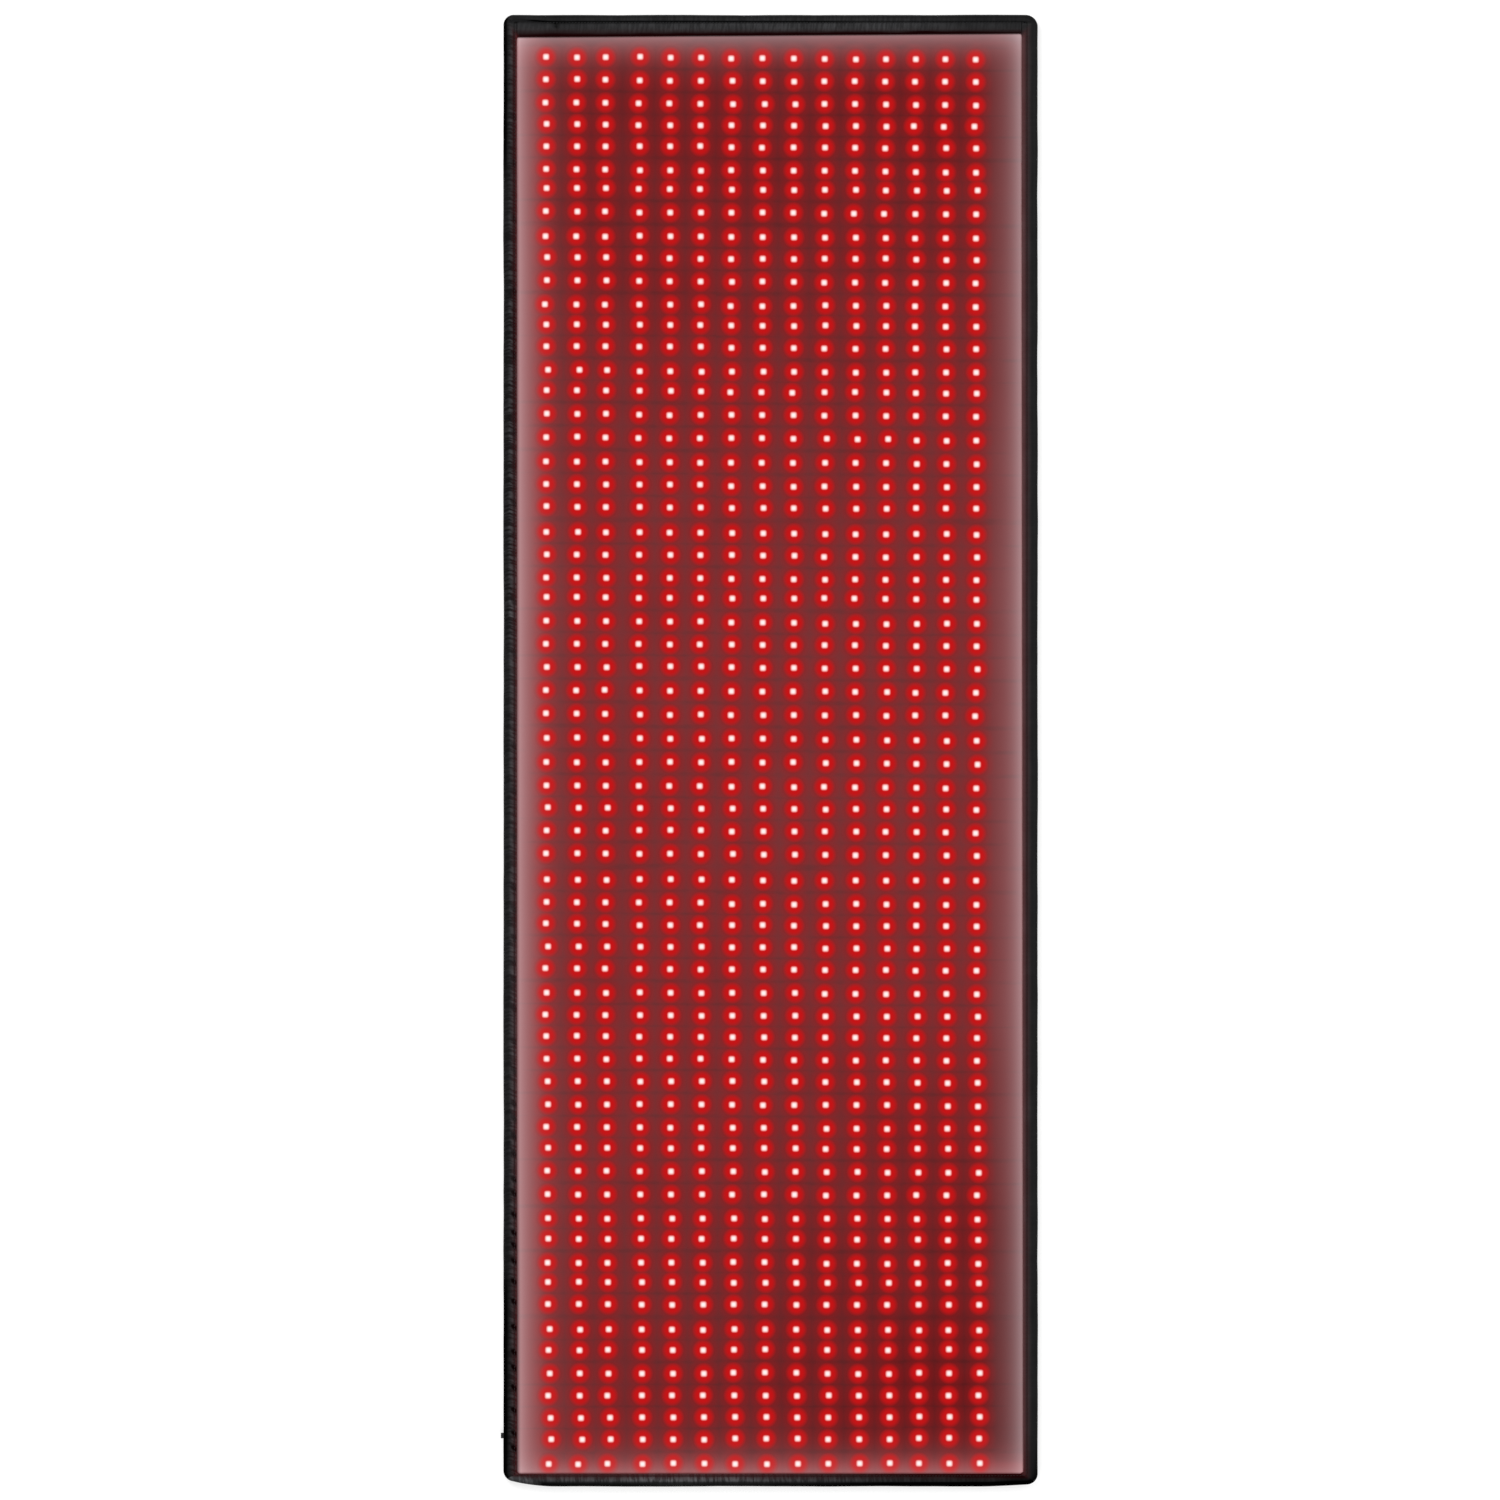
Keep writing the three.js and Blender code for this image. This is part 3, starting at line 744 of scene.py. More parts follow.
# How the head's seam leaves its line: it wanders, dips once and rises to the left. Each has its
# size, its place across the mat and its length.
SEAM_WANDER = (0.45 * MM, 55 * MM)
SEAM_DIP = (0.5 * MM, -229 * MM, 30 * MM)
SEAM_RISE = (2.6 * MM, -235 * MM, 45 * MM)
# Painted highlight on the ridge that runs out onto the edge at the foot's left corner, from the edge in.
FOOT_RIDGE_HIGHLIGHT = [(0, 0.03), (2, 0.03), (4.8, 0.05)]


def seam_shift(way):
    """How far the head's seam lies from its line, inwards."""
    wander = SEAM_WANDER[0] * ripple(way, SEAM_WANDER[1], 9.0)
    dip, dip_place, dip_length = SEAM_DIP
    rise, rise_place, rise_length = SEAM_RISE
    wander += dip * hump(way - dip_place, dip_length)
    return wander - rise * smooth((rise_place - way) / rise_length)


def side_shade(side, inset, way):
    """One side's own tone with painted shade and highlights, painted red light, and gather."""
    # In the left side's upper half the ramp lies 0.8 mm further out.
    upper = smooth(way / (80 * MM) - 1) if side == "left" else 0.0
    tone_and_painted_shade = stops(BORDER_TONES_AND_SHADE[side], inset / MM + 0.8 * upper) * stops(TONE_AND_SHADE_ALONG[side], way / MM)
    tone_and_painted_shade *= 1 + 0.3 * ripple(way, 25 * MM, inset / (6 * MM), 5.0 + SIDES.index(side))
    # The LEDs' red light beside the window is painted on the cloth as a glow.
    painted_red_light = stops(BORDER_PAINTED_RED_LIGHT[side], inset / MM)
    if side == "left":
        hollow = dimple(inset, way)
        # Beside the seam the lower half's cloth is puffed up, with a painted highlight on the puffs.
        puff_highlight = 0.4 * smooth(-way / (150 * MM) - 1) * smooth(inset / (2 * MM) - 4)
        # The ribs get painted light and shade, and the dimples painted shade and less painted red light.
        tone_and_painted_shade *= (1 + 0.06 * pucker(inset, way)) * (1 + puff_highlight) * (1 - 0.93 * hollow)
        tone_and_painted_shade *= 1 - hump(inset - LEFT_GROOVE_INSET, LEFT_GROOVE_WIDTH) * stops(LEFT_GROOVE_SHADE, way / MM)
        painted_red_light *= (1 - 0.75 * hollow) * (1 + 0.3 * smooth(way / (60 * MM) - 8))
        # Towards both ends the roll's outer part gets painted shade.
        ends = smooth(way / (60 * MM) - 10) + smooth(-way / (80 * MM) - 6.7)
        tone_and_painted_shade *= 1 - 0.75 * ends * smooth(1.8 - inset / (3 * MM))
    # The head's seam groove gets painted shade.
    if side == "head":
        groove_shade = hump(inset - HEAD_GROOVE_INSET - seam_shift(way), HEAD_GROOVE_WIDTH)
        tone_and_painted_shade *= 1 - stops(HEAD_GROOVE_SHADE, way / MM) * groove_shade
    if side == "foot":
        painted_red_light *= 1 - 0.45 * smooth((way + 30 * MM) / (150 * MM))
        # A painted highlight lies on the ridge at the foot's left corner.
        ridge_highlight = smooth((-246 * MM - way) / (22 * MM)) * smooth(2 - inset / (6 * MM))
        tone_and_painted_shade = max(tone_and_painted_shade, stops(FOOT_RIDGE_HIGHLIGHT, inset / MM) * ridge_highlight)
    return tone_and_painted_shade, painted_red_light, stops(GATHER_ALONG[side], way / MM)


def border_shade(side):
    """The values that the material reads. Two sides' values blend where they meet in a corner."""
    half, other_half = (half_length, half_width) if side in UPRIGHT else (half_width, half_length)
    sign = 1 if side in ("right", "head") else -1
    ends = ("foot", "head") if side in UPRIGHT else ("left", "right")

    def shade(inset, way):
        own = side_shade(side, inset, way)
        end, end_inset = ends[way > 0], half - abs(way)
        nearer = inset / BAND_WIDTHS[side] - end_inset / BAND_WIDTHS[end]
        share = smooth(0.5 + MITRE_SHARPNESS * nearer)
        if share > 0:
            other = side_shade(end, end_inset, sign * (other_half - inset))
            own = [value + (following - value) * share for value, following in zip(own, other)]
        # The folds slant, on the left side to both sides of the roll's crest.
        slant = 0.35 * abs(inset - 6.5 * MM) if side == "left" else 0.1 * inset
        return (*own, way + slant, inset)

    return shade


for side in SIDES:
    strip = sweep(side, binding_section(), BINDING_SPACING, border_relief(side), border_shade(side))
    binding = make_piece(side + "_binding", strip, [border_leather], ["binding_" + side])
    thicken(binding, BINDING_WALL)
    length = side_length(side)
    "hem_tape_" + side

# %% [markdown]
# ## The hem tape
#
# Between the seam and the window lies a flat tape. The window's edge is caught under it, and its
# own inner edge is turned under, so that it ends in a soft fold. At the head it is a wide flat
# band. The window isn't quite square in the mat, so the tape's width changes along a side. Where
# two tapes meet, the opening has a small round corner, which belongs to the two long tapes.

# %% Hem tape: the opening
TAPE_TOP = 10.3 * MM
TAPE_WALL = 0.6 * MM
TAPE_FOLD = 0.8 * MM
TAPE_SPACING = 2.5 * MM
TAPE_OUTER = 3.6 * MM
TAPE_STEPS = 8
FOLD_STEPS = 4
TAPE_ROOM = 2.5 * MM
WINDOW_CORNER = 3.2 * MM
NEAR = 12 * MM
DRAWN_IN = 0.8 * MM
film_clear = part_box("front_window")[1].z + 0.15 * MM
window_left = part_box("hem_tape_left")[1].x
window_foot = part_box("hem_tape_foot")[1].y


def lowest_near(node, axis, wanted):
    """The lowest place on an axis among the node's corners nearest to a place on the other axis."""
    points = [vertex.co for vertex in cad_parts[node].data.vertices]
    nearest = min(abs(point[1 - axis] - wanted) for point in points)
    return min(point[axis] for point in points if abs(point[1 - axis] - wanted) < nearest + NEAR)


window_right_head = lowest_near("hem_tape_right", 0, half_length)
window_right_foot = lowest_near("hem_tape_right", 0, -half_length) - DRAWN_IN
window_head_left = lowest_near("hem_tape_head", 1, -half_width)
window_head_right = lowest_near("hem_tape_head", 1, half_width)
right_slope = (window_right_head - window_right_foot) / (2 * half_length)
head_slope = (window_head_right - window_head_left) / (window_right_head - window_left)
print("window", window_left, window_right_head, window_right_foot)
print("window", window_foot, window_head_left, window_head_right)


def window_right(y):
    return window_right_foot + right_slope * (y + half_length)


def window_head(x):
    return window_head_left + head_slope * (x - window_left)


def rounding(distance):
    """How far the round corner of the opening comes in, a distance away from the corner."""
    away = WINDOW_CORNER - distance
    if not 0 < away < WINDOW_CORNER:
        return 0.0
    return WINDOW_CORNER - math.sqrt(WINDOW_CORNER ** 2 - away ** 2)


def tape_edge(side, place):
    """The tape's inner edge, as an inset from the mat's edge, at a place along the side."""
    waver = 0.25 * MM * ripple(place, 70 * MM, SIDES.index(side) + 0.5, 1.0)
    if side == "head":
        return half_length - window_head(place) + waver
    if side == "foot":
        return half_length + window_foot + waver
    corner = window_left if side == "left" else window_right(place)
    rounded = rounding(window_head(corner) - place) + rounding(place - window_foot)
    return half_width - abs(corner) + rounded + waver


# %% [markdown]
# Each tape runs flat from inside the roll to its fold, and then turns down round it. Above the head
# end of the window the fold throws a dark line, and the head band has one small dent.

# %% Hem tape: the strips
DENT_PLACE = (-233 * MM, 787.6 * MM)
DENT_WIDTH = 5 * MM
DENT_DEPTH = 0.5 * MM
DENT_SHADE = 0.95
EDGE_SHADE = 0.98
EDGE_SHADE_WIDTH = (4.1 * MM, 2.2 * MM)
# How much of the dark line there is at places across the mat, in millimetres.
EDGE_SHADE_ALONG = [(-275, 0.7), (-240, 0.95), (190, 1.0), (262, 0.6)]
TAPE_UNEVEN = 0.1 * MM
TAPE_DIMPLE = 0.6
END_GAP = 0.2 * MM
# How far the long tapes run on past the window at its foot and at its head.
RUN_ON = (5 * MM, 14 * MM)


def tape_ends(side):
    """Where a tape starts and ends along its side."""
    if side in UPRIGHT:
        return window_foot - RUN_ON[0], window_head(0) + RUN_ON[1]
    high = window_right(half_length if side == "head" else -half_length)
    return window_left + END_GAP, high - END_GAP


def tape_shape(side):
    """The tape, which starts inside the roll, and its flat size."""
    low, high = tape_ends(side)
    steps = round((high - low) / TAPE_SPACING)
    shape, corners, store = shaded_grid(steps, TAPE_STEPS + FOLD_STEPS)
    shade = border_shade(side)
    for vertex, _, ring in corners:
        # The new grid runs from -1 to 1 in X.
        place = low + (high - low) * (vertex.co.x + 1) / 2
        edge = tape_edge(side, place)
        height = TAPE_TOP
        if ring <= TAPE_STEPS:
            inset = TAPE_OUTER + (edge - TAPE_FOLD - TAPE_OUTER) * ring / TAPE_STEPS
        else:
            angle = math.pi / 2 * (ring - TAPE_STEPS) / FOLD_STEPS
            inset = edge - TAPE_FOLD + TAPE_FOLD * math.sin(angle)
            height -= (TAPE_TOP - film_clear) * (1 - math.cos(angle))
        height += TAPE_UNEVEN * ripple(place, 50 * MM, inset / (20 * MM), SIDES.index(side))
        values = list(shade(inset, place))
        if side == "left":
            height -= DIMPLE_DEPTH * dimple(inset, place) * TAPE_DIMPLE
        if side in UPRIGHT:
            point = Vector((math.copysign(half_width - inset, 1 if side == "right" else -1), place, height))
        else:
            point = Vector((place, half_length - inset, height))
        if side == "foot":
            point.y = foot_edge(place, corner_arcs(even(inset)), even(inset))
        if side == "head":
            dent = hump(math.dist(point.xy, DENT_PLACE), DENT_WIDTH)
            point.z -= DENT_DEPTH * dent
            far, near = EDGE_SHADE_WIDTH
            ragged = 0.5 * MM * ripple(place, 30 * MM, 4.0)
            past_fold = smooth((far - edge + inset + ragged) / (far - near))
            fold_shade = EDGE_SHADE * stops(EDGE_SHADE_ALONG, place / MM) * past_fold
            values[0] *= (1 - DENT_SHADE * dent) * (1 - fold_shade)
        vertex.co = inside_outline(point, TAPE_ROOM)
        store(vertex, values)
    face_up(shape)
    return shape, (edge - TAPE_OUTER + TAPE_FOLD / 2, high - low)


for side in SIDES:
    shape, flat_size = tape_shape(side)
    tape = make_piece(side + "_hem_tape", shape, [border_leather], ["hem_tape_" + side])
    thicken(tape, TAPE_WALL)

# %% [markdown]
# ## Where the LEDs are
#
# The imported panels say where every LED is. The tops of their LED boxes are the highest corners
# of a panel. Measured along the panel's own row direction, the boxes' edges come in pairs, one
# pair for each column, and across it one pair for each row. A real strip is soldered up from
# units of three and laid by hand. So a seeded lottery moves each panel, each row, each unit and
# each package a little off its place, and now and then a unit lies further out. The columns on the
# right bow out a little, and the third one stands too far to the left.

# %% LED places
UNIT_LEDS = 3
# The spread of each chance value, and its limit.
PANEL_SLIP = (1.0 * MM, 2.0 * MM)
ROW_SLIP = (0.8 * MM, 1.5 * MM)
# The spread across and along the mat.
UNIT_SHIFT = (0.45 * MM, 0.35 * MM)
LED_SHIFT = (0.3 * MM, 0.22 * MM)
SHIFT_LIMIT = 1.1 * MM
STRAY_SHARE = 0.05
STRAY_SHIFT = 1.6 * MM
COLUMN_BOW = 2 * MM
BOW_COLUMN = 9.7
BOW_REACH = 5
THIRD_COLUMN_SLIP = -2 * MM
PANEL_NAMES = sorted(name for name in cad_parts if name.startswith("led_panel_"))
chance = random.Random(15)


def limited(spread, limit=SHIFT_LIMIT):
    """A chance value that stays within a limit."""
    return max(-limit, min(limit, chance.gauss(0, spread)))


def column_slip(column):
    return COLUMN_BOW * hump(column - BOW_COLUMN, BOW_REACH) + (THIRD_COLUMN_SLIP if column == 2 else 0)


def paired_middles(places):
    """Middles between the places, taken in pairs, once those that are alike count as one."""
    distinct = []
    for place in sorted(places):
        if not distinct or place - distinct[-1] > 1 * MM:
            distinct.append(place)
    return [(low + high) / 2 for low, high in zip(distinct[::2], distinct[1::2])]


class Panel:
    """One panel's own axes, with its origin at the lowest left corner of its LEDs."""

    def __init__(self, name):
        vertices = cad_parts[name].data.vertices
        self.top = max(vertex.co.z for vertex in vertices)
        tops = [vertex.co for vertex in vertices if vertex.co.z > self.top - 0.01 * MM]
        self.origin = min(tops, key=lambda p: p.x + p.y).copy()
        far = max(tops, key=lambda p: p.x - p.y)
        self.along = (far - self.origin).normalized()
        self.across = Vector((-self.along.y, self.along.x, 0))
        columns = paired_middles([(p - self.origin).dot(self.along) for p in tops])
        rows = paired_middles([(p - self.origin).dot(self.across) for p in tops])
        self.columns = [place + column_slip(column) for column, place in enumerate(columns)]
        slip = limited(*PANEL_SLIP)
        self.rows = [place + slip + limited(*ROW_SLIP) for place in rows]
        self.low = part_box(name)[0].z

    def point(self, along, across, height):
        place = self.origin + self.along * along + self.across * across
        return Vector((place.x, place.y, height))

    def shift(self):
        """Draws how far each package is off its place, row by row."""
        self.shifts = []
        for _ in self.rows:
            row = []
            for column in range(len(self.columns)):
                if column % UNIT_LEDS == 0:
                    unit = unit_shift()
                own = Vector((limited(LED_SHIFT[0]), limited(LED_SHIFT[1]), 0))
                row.append(unit + own)
            self.shifts.append(row)

    def leds(self, row, height):
        """Where the LEDs of one row stand."""
        places = [self.point(column, self.rows[row], height) for column in self.columns]
        return [place + shift for place, shift in zip(places, self.shifts[row])]


def unit_shift():
    """How far one unit of three lies off its place. A stray one is further out, to a side."""
    shift = Vector((limited(UNIT_SHIFT[0]), limited(UNIT_SHIFT[1]), 0))
    if chance.random() < STRAY_SHARE:
        shift.x += chance.choice((-1, 1)) * STRAY_SHIFT
    return shift


panels = [Panel(name) for name in PANEL_NAMES]
for panel in panels:
    panel.shift()
# All the LEDs, by row from the head to the foot and by column from the left.
led_rows = [panel.leds(row, panel.top) for panel in panels for row in reversed(range(len(panel.rows)))]
row_count, column_count = len(led_rows), len(led_rows[0])
print(row_count, "rows of", column_count, "LEDs")

# %% [markdown]
# ## The frosted window
#
# On the real mat the film scatters each LED's light: a spot that burns out to white, a saturated
# red ring round it, and a dull red glow in between. To paint that in a shader, a point has to know
# how far it is from its nearest LED. So the sheet is made in cells, one for each LED, whose
# borders lie midway between the LEDs. The UV map holds each corner's place measured from its own
# cell's LED. Inside a flat cell that measure is exact.

# %% Window cells
CELL_STEPS = 4
FILM_WALL = 0.4 * MM
FILM_WAVE = 0.12 * MM
FILM_WAVE_LENGTH = 70 * MM
FILM_ROOM = 2 * MM


def midway(values):
    return [(a + b) / 2 for a, b in zip(values, values[1:])]


def cell_corners():
    """The corners of all cells: one line of points above each row of LEDs, and one below the last."""
    lines = []
    for line in range(row_count + 1):
        pairs = list(zip(led_rows[max(line - 1, 0)], led_rows[min(line, row_count - 1)]))
        xs = [window_low.x, *midway([(a.x + b.x) / 2 for a, b in pairs]), window_high.x]
        ys = [(a.y + b.y) / 2 for a, b in pairs]
        ys = [ys[0], *midway(ys), ys[-1]]
        if line == 0:
            ys = [window_high.y] * len(ys)
        if line == row_count:
            ys = [window_low.y] * len(ys)
        lines.append([Vector((x, y, 0)) for x, y in zip(xs, ys)])
    return lines


def lattice_point(lines, along, down):
    """A point of the cells' lattice, for a place counted in cells from the left and the head."""
    column, row = min(int(along), column_count - 1), min(int(down), row_count - 1)
    upper, lower = (line[column].lerp(line[column + 1], along - column) for line in lines[row:row + 2])
    return upper.lerp(lower, down - row)


cell_lines = cell_corners()
film_shape = bmesh.new()
nearest_led = film_shape.loops.layers.uv.new("nearest_led")
corner_of = {}
for vertex, column, row in grid(film_shape, column_count * CELL_STEPS, row_count * CELL_STEPS):
    corner_of[vertex] = (column, row)
    point = lattice_point(cell_lines, column / CELL_STEPS, row_count - row / CELL_STEPS)
    point = inside_outline(point, FILM_ROOM)
    wave = FILM_WAVE * ripple(point.x, FILM_WAVE_LENGTH, point.y / FILM_WAVE_LENGTH, 2.0)
    vertex.co = Vector((point.x, point.y, window_high.z - 2 * FILM_WAVE + wave))
for face in film_shape.faces:
    column, row = min(corner_of[vertex] for vertex in face.verts)
    led = led_rows[row_count - 1 - row // CELL_STEPS][column // CELL_STEPS]
    for loop in face.loops:
        loop[nearest_led].uv = (loop.vert.co.x - led.x, loop.vert.co.y - led.y)
face_up(film_shape)
print("window cells", column_count, "by", row_count)

# %% [markdown]
# ## Finish: frosted film over lit LEDs
#
# Its own colour and its light are kept apart, so that it still looks right in other light. The
# colour is a pale haze, strongest along the window's edges, where the film rises to the hem, and
# it drowns in the LEDs' own light. The light is a dull red glow, a red ring round each LED, and a
# hot spot with soft square corners, like the package under it. Between the rows the glow is
# interrupted by faint dark bands. Towards the head and the right of the foot it is a little
# weaker. Right beside the tape the film lies in its shade.

# %% Film: sizes and colours
RING = (14.3 * MM, 5.9 * MM)
HALO = (20.5 * MM, 11.5 * MM)
HALO_STRENGTH = 0.14
CORE_RED = (4.55 * MM, 1.7 * MM)
CORE_WHITE = (4.2 * MM, 0.8 * MM)
CORE_POWER = 3.2
FIELD_GLOW = (0.21, 0.0016, 0.004)
FIELD_STRENGTH = 0.76
RING_GLOW = (0.55, 0.0005, 0.0015)
HOT_RED = (1.0, 0.12, 0.11)
HOT_WHITE = (1.0, 0.92, 0.9)
HAZE_TINT = (1.0, 0.93, 0.97)
HAZE = 0.0048
HAZE_CLOUDS = 0.012
MIDDLE_HAZE = 0.0148
RIGHT_HAZE = 0.007
SIDEWAYS_HAZE = 0.028
# How much paler the haze gets at each edge of the window, and how far that reaches.
EDGE_HAZE = {
    "left": (0.225, 13 * MM),
    "right": (0.195, 10.5 * MM),
    "head": (0.14, 13 * MM),
    "foot": (0.11, 13 * MM),
}
# Where the tape's shade on the film starts and ends, from the tape's edge.
TAPE_SHADES = {
    "left": (-1.9 * MM, 4.2 * MM),
    "right": (-1.9 * MM, 1.9 * MM),
    "head": (-0.2 * MM, 2.4 * MM),
    "foot": (-1.8 * MM, 2.6 * MM),
}
BAND_PLACE = (9.6 * MM, 12.2 * MM)
BAND_STRENGTH = 0.2
BAND_SCALE = (22.0, 60.0, 1.0)

# %% [markdown]
# First come the distances: from the nearest LED, and from each edge of the window. They say how
# pale the haze is, and where the tape's shade lies.

# %% Film: distances, haze and shade
paint = Paint("frosted_film_lit")
x, y, _ = paint.axes(paint.place())
off_x, off_y, _ = paint.axes(paint.map("nearest_led"))
round_distance = (off_x * off_x + off_y * off_y) ** 0.5
square_distance = (off_x.size() ** CORE_POWER + off_y.size() ** CORE_POWER) ** (1 / CORE_POWER)
ring = round_distance.ramp(*RING)
halo = round_distance.ramp(*HALO)
edges = {
    "left": x - window_left,
    "right": y * right_slope + (window_right_head + window_right_foot) / 2 - x,
    "head": x * head_slope + window_head(0) - y,
    "foot": y - window_foot,
}
haze = paint.grain(9.0, detail=3.0) * HAZE_CLOUDS + (HAZE - HAZE_CLOUDS / 2)
haze = haze + y.ramp(0.85, 0.1) * y.ramp(-1.1, -0.05) * MIDDLE_HAZE
haze = haze + edges["right"].ramp(45 * MM, 25 * MM) * RIGHT_HAZE
haze = (haze - x * SIDEWAYS_HAZE * y.ramp(-0.2, -0.5)).maths("MAXIMUM", 0.0)
edge_haze, tape_shade = 0.0, 1.0
for side, distance in edges.items():
    if side == "left":
        # The soft edge is narrower at the head and wider at the foot.
        distance = distance + y.ramp(0.5, 0.75) * 1.1 * MM - y.ramp(-0.4, -0.65) * 0.9 * MM
    paler, reach = EDGE_HAZE[side]
    edge_haze = distance.maths("MAXIMUM", 0.0).fade(reach) * paler + edge_haze
    tape_shade = distance.ramp(*TAPE_SHADES[side]) * tape_shade
own_tone = (haze * (1 - ring * 0.96) * (1 - halo * 0.25) + edge_haze * (1 - ring * 0.6)) * tape_shade
print("edges", list(edges))

# %% [markdown]
# The light is mixed in layers, each over the last: the field, the ring with its halo, the red core
# and the white core. The haze and the light then meet in one shader.

# %% Film: light
cloud = paint.grain(26.0, detail=3.0)
weak_head = y.ramp(0.1, 0.85) * 0.19 * edges["head"].ramp(8 * MM, 40 * MM)
weak_foot = y.ramp(-0.25, -0.72) * (x * 0.46 + 0.185) * edges["foot"].ramp(8 * MM, 40 * MM)
edge_light = (edges["left"].ramp(38 * MM, 16 * MM) + edges["foot"].ramp(17 * MM, 7 * MM)) * 0.3
strength = (1 - weak_head - weak_foot + (cloud - 0.5) * 0.14) * FIELD_STRENGTH + edge_light
rough_band = paint.grain(1.0, paint.stretched(paint.place(), BAND_SCALE), detail=3.0).ramp(0.36, 0.62)
band = off_y.size().ramp(*BAND_PLACE) * rough_band * BAND_STRENGTH
light = paint.mix((strength * (1 - band)).maths("MINIMUM", 1.0), BLACK, FIELD_GLOW)
light = paint.mix(ring.maths("MAXIMUM", halo * HALO_STRENGTH), light, RING_GLOW)
light = paint.mix(square_distance.ramp(*CORE_RED), light, HOT_RED)
light = paint.mix(square_distance.ramp(*CORE_WHITE), light, HOT_WHITE)
frost = paint.grain(2600.0, detail=1.0)
film_finish = paint.finish(
    Base_Color=paint.mix(own_tone, BLACK, HAZE_TINT),
    Roughness=frost * 0.16 + 0.34,
    Specular_IOR_Level=0.06,
    Emission_Color=paint.mix(tape_shade, BLACK, light),
    Normal=paint.bump(frost, 0.05 * MM, 0.35),
)
film = make_piece("frosted_window", film_shape, [film_finish], ["front_window"])
thicken(film, FILM_WALL)

# %% [markdown]
# ## Sheets that fill the outline
#
# Rear sheet, foam and carrier all fill the mat's outline. They are made of closed rings that
# follow the outline at a few insets and heights, and the ring's inside is filled flat. The grid
# makes the band of rings: its two ends meet, and merging the doubles closes it. The wide flat
# faces are then cut into squares, which shade and export better than one huge face.


# %% Rings that fill the outline
SQUARE = 100 * MM
DEEP = 20 * MM
gland_low, gland_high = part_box("lead_gland")
gland_y = (gland_low.y + gland_high.y) / 2
gland_z = (gland_low.z + gland_high.z) / 2
# A notch in the left edge that leaves room for the gland: how far in, and half its width.
POCKET = (-half_width + 14.5 * MM, 7 * MM)


def outline(insets, spacing):
    """The mat's whole outline, drawn in, as one closed run."""
    points = []
    for side in SIDES:
        points += side_run(side, insets, round(side_length(side) / spacing))[:-1]
    return points


def filled_rings(section, spacing, pocket=False):
    """Closed rings over a section of (inset, height), with their inside filled."""
    runs = [outline(even(inset), spacing) for inset, _ in section]
    stations = len(runs[0])
    shape = bmesh.new()
    for vertex, station, ring in grid(shape, stations, len(section) - 1):
        place = runs[ring][station % stations].copy()
        if pocket and place.x < POCKET[0] and abs(place.y - gland_y) < POCKET[1]:
            place.x = POCKET[0]
        vertex.co = (place.x, place.y, section[ring][1])
    bmesh.ops.remove_doubles(shape, verts=shape.verts, dist=0.01 * MM)
    fill_inner(shape)
    return shape


def is_deep(point):
    return abs(point.x) < half_width - DEEP and abs(point.y) < half_length - DEEP


def fill_inner(shape):
    """Fills the holes that lie deep inside the mat, one at each height, and cuts them into squares."""
    rims = {}
    for edge in shape.edges:
        if edge.is_boundary and all(is_deep(vertex.co) for vertex in edge.verts):
            rims.setdefault(edge.verts[0].co.z > roll_radius, []).append(edge)
    for rim in rims.values():
        bmesh.ops.edgeloop_fill(shape, edges=rim)
    for normal, half in ((Vector((1, 0, 0)), half_width), (Vector((0, 1, 0)), half_length)):
        count = int(half / SQUARE)
        for step in range(-count, count + 1):
            wide = [face for face in shape.faces if face.calc_area() > 0.4 * SQUARE ** 2]
            edges = {edge for face in wide for edge in face.edges}
            corners = {vertex for face in wide for vertex in face.verts}
            geometry = [*wide, *edges, *corners]
            bmesh.ops.bisect_plane(shape, geom=geometry, plane_co=normal * step * SQUARE, plane_no=normal)
    bmesh.ops.recalc_face_normals(shape, faces=shape.faces)


def face_way(shape, up):
    """Turns an open sheet so that its faces look up or down."""
    widest = max(shape.faces, key=lambda face: face.calc_area())
    if (widest.normal.z > 0) != up:
        bmesh.ops.reverse_faces(shape, faces=shape.faces)


print("gland at", round(gland_y, 4), round(gland_z, 4))

# %% [markdown]
# ## The rear sheet
#
# The back is one sheet of plain leather cloth. Its edge is tucked against the binding, and the
# border's seam comes through it: there the sheet is drawn in to a shallow groove, and the stitches
# lie in it.

# %% Rear sheet
REAR_WALL = 0.9 * MM
REAR_SPACING = 6 * MM
REAR_SEAM = 12 * MM
REAR_TONE = 0.014
REAR_EDGE = 6.25
# Inset and height in millimetres, from the middle to the edge. The groove is drawn into the sheet.
REAR_SECTION = [
    (30, 0), (13.6, 0), (12.9, 0.06), (12.4, 0.2), (12, 0.26), (11.6, 0.2), (11.1, 0.06), (10.4, 0),
    (7.2, 0), (6.6, 0.08), (REAR_EDGE, 0.3),
]

rear_leather = leather_cloth("rear_leather_cloth", REAR_TONE, 0.5, 1.1 * MM, 0.16 * MM)
rear_section = [(inset * MM, height * MM) for inset, height in REAR_SECTION]
rear_shape = filled_rings(rear_section, REAR_SPACING)
face_way(rear_shape, up=False)
rear_sheet = make_piece("rear_sheet", rear_shape, [rear_leather], ["rear_cover"])
thicken(rear_sheet, REAR_WALL)

# %% [markdown]
# ## The foam core
#
# A pad of fine black foam gives the mat its body. Its edge is rounded, because the binding is
# pulled round it, and a notch at the left edge leaves room for the gland and its wires.

# %% Foam
FOAM_SPACING = 3 * MM
FOAM_SHARES = (0.0, 0.12, 0.3, 0.5, 0.7, 0.9)
FLAT_INSET = 30 * MM
PORE_SIZE = 0.7 * MM
foam_low, foam_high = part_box("foam_core")
binding_room = roll_radius - 1.35 * MM


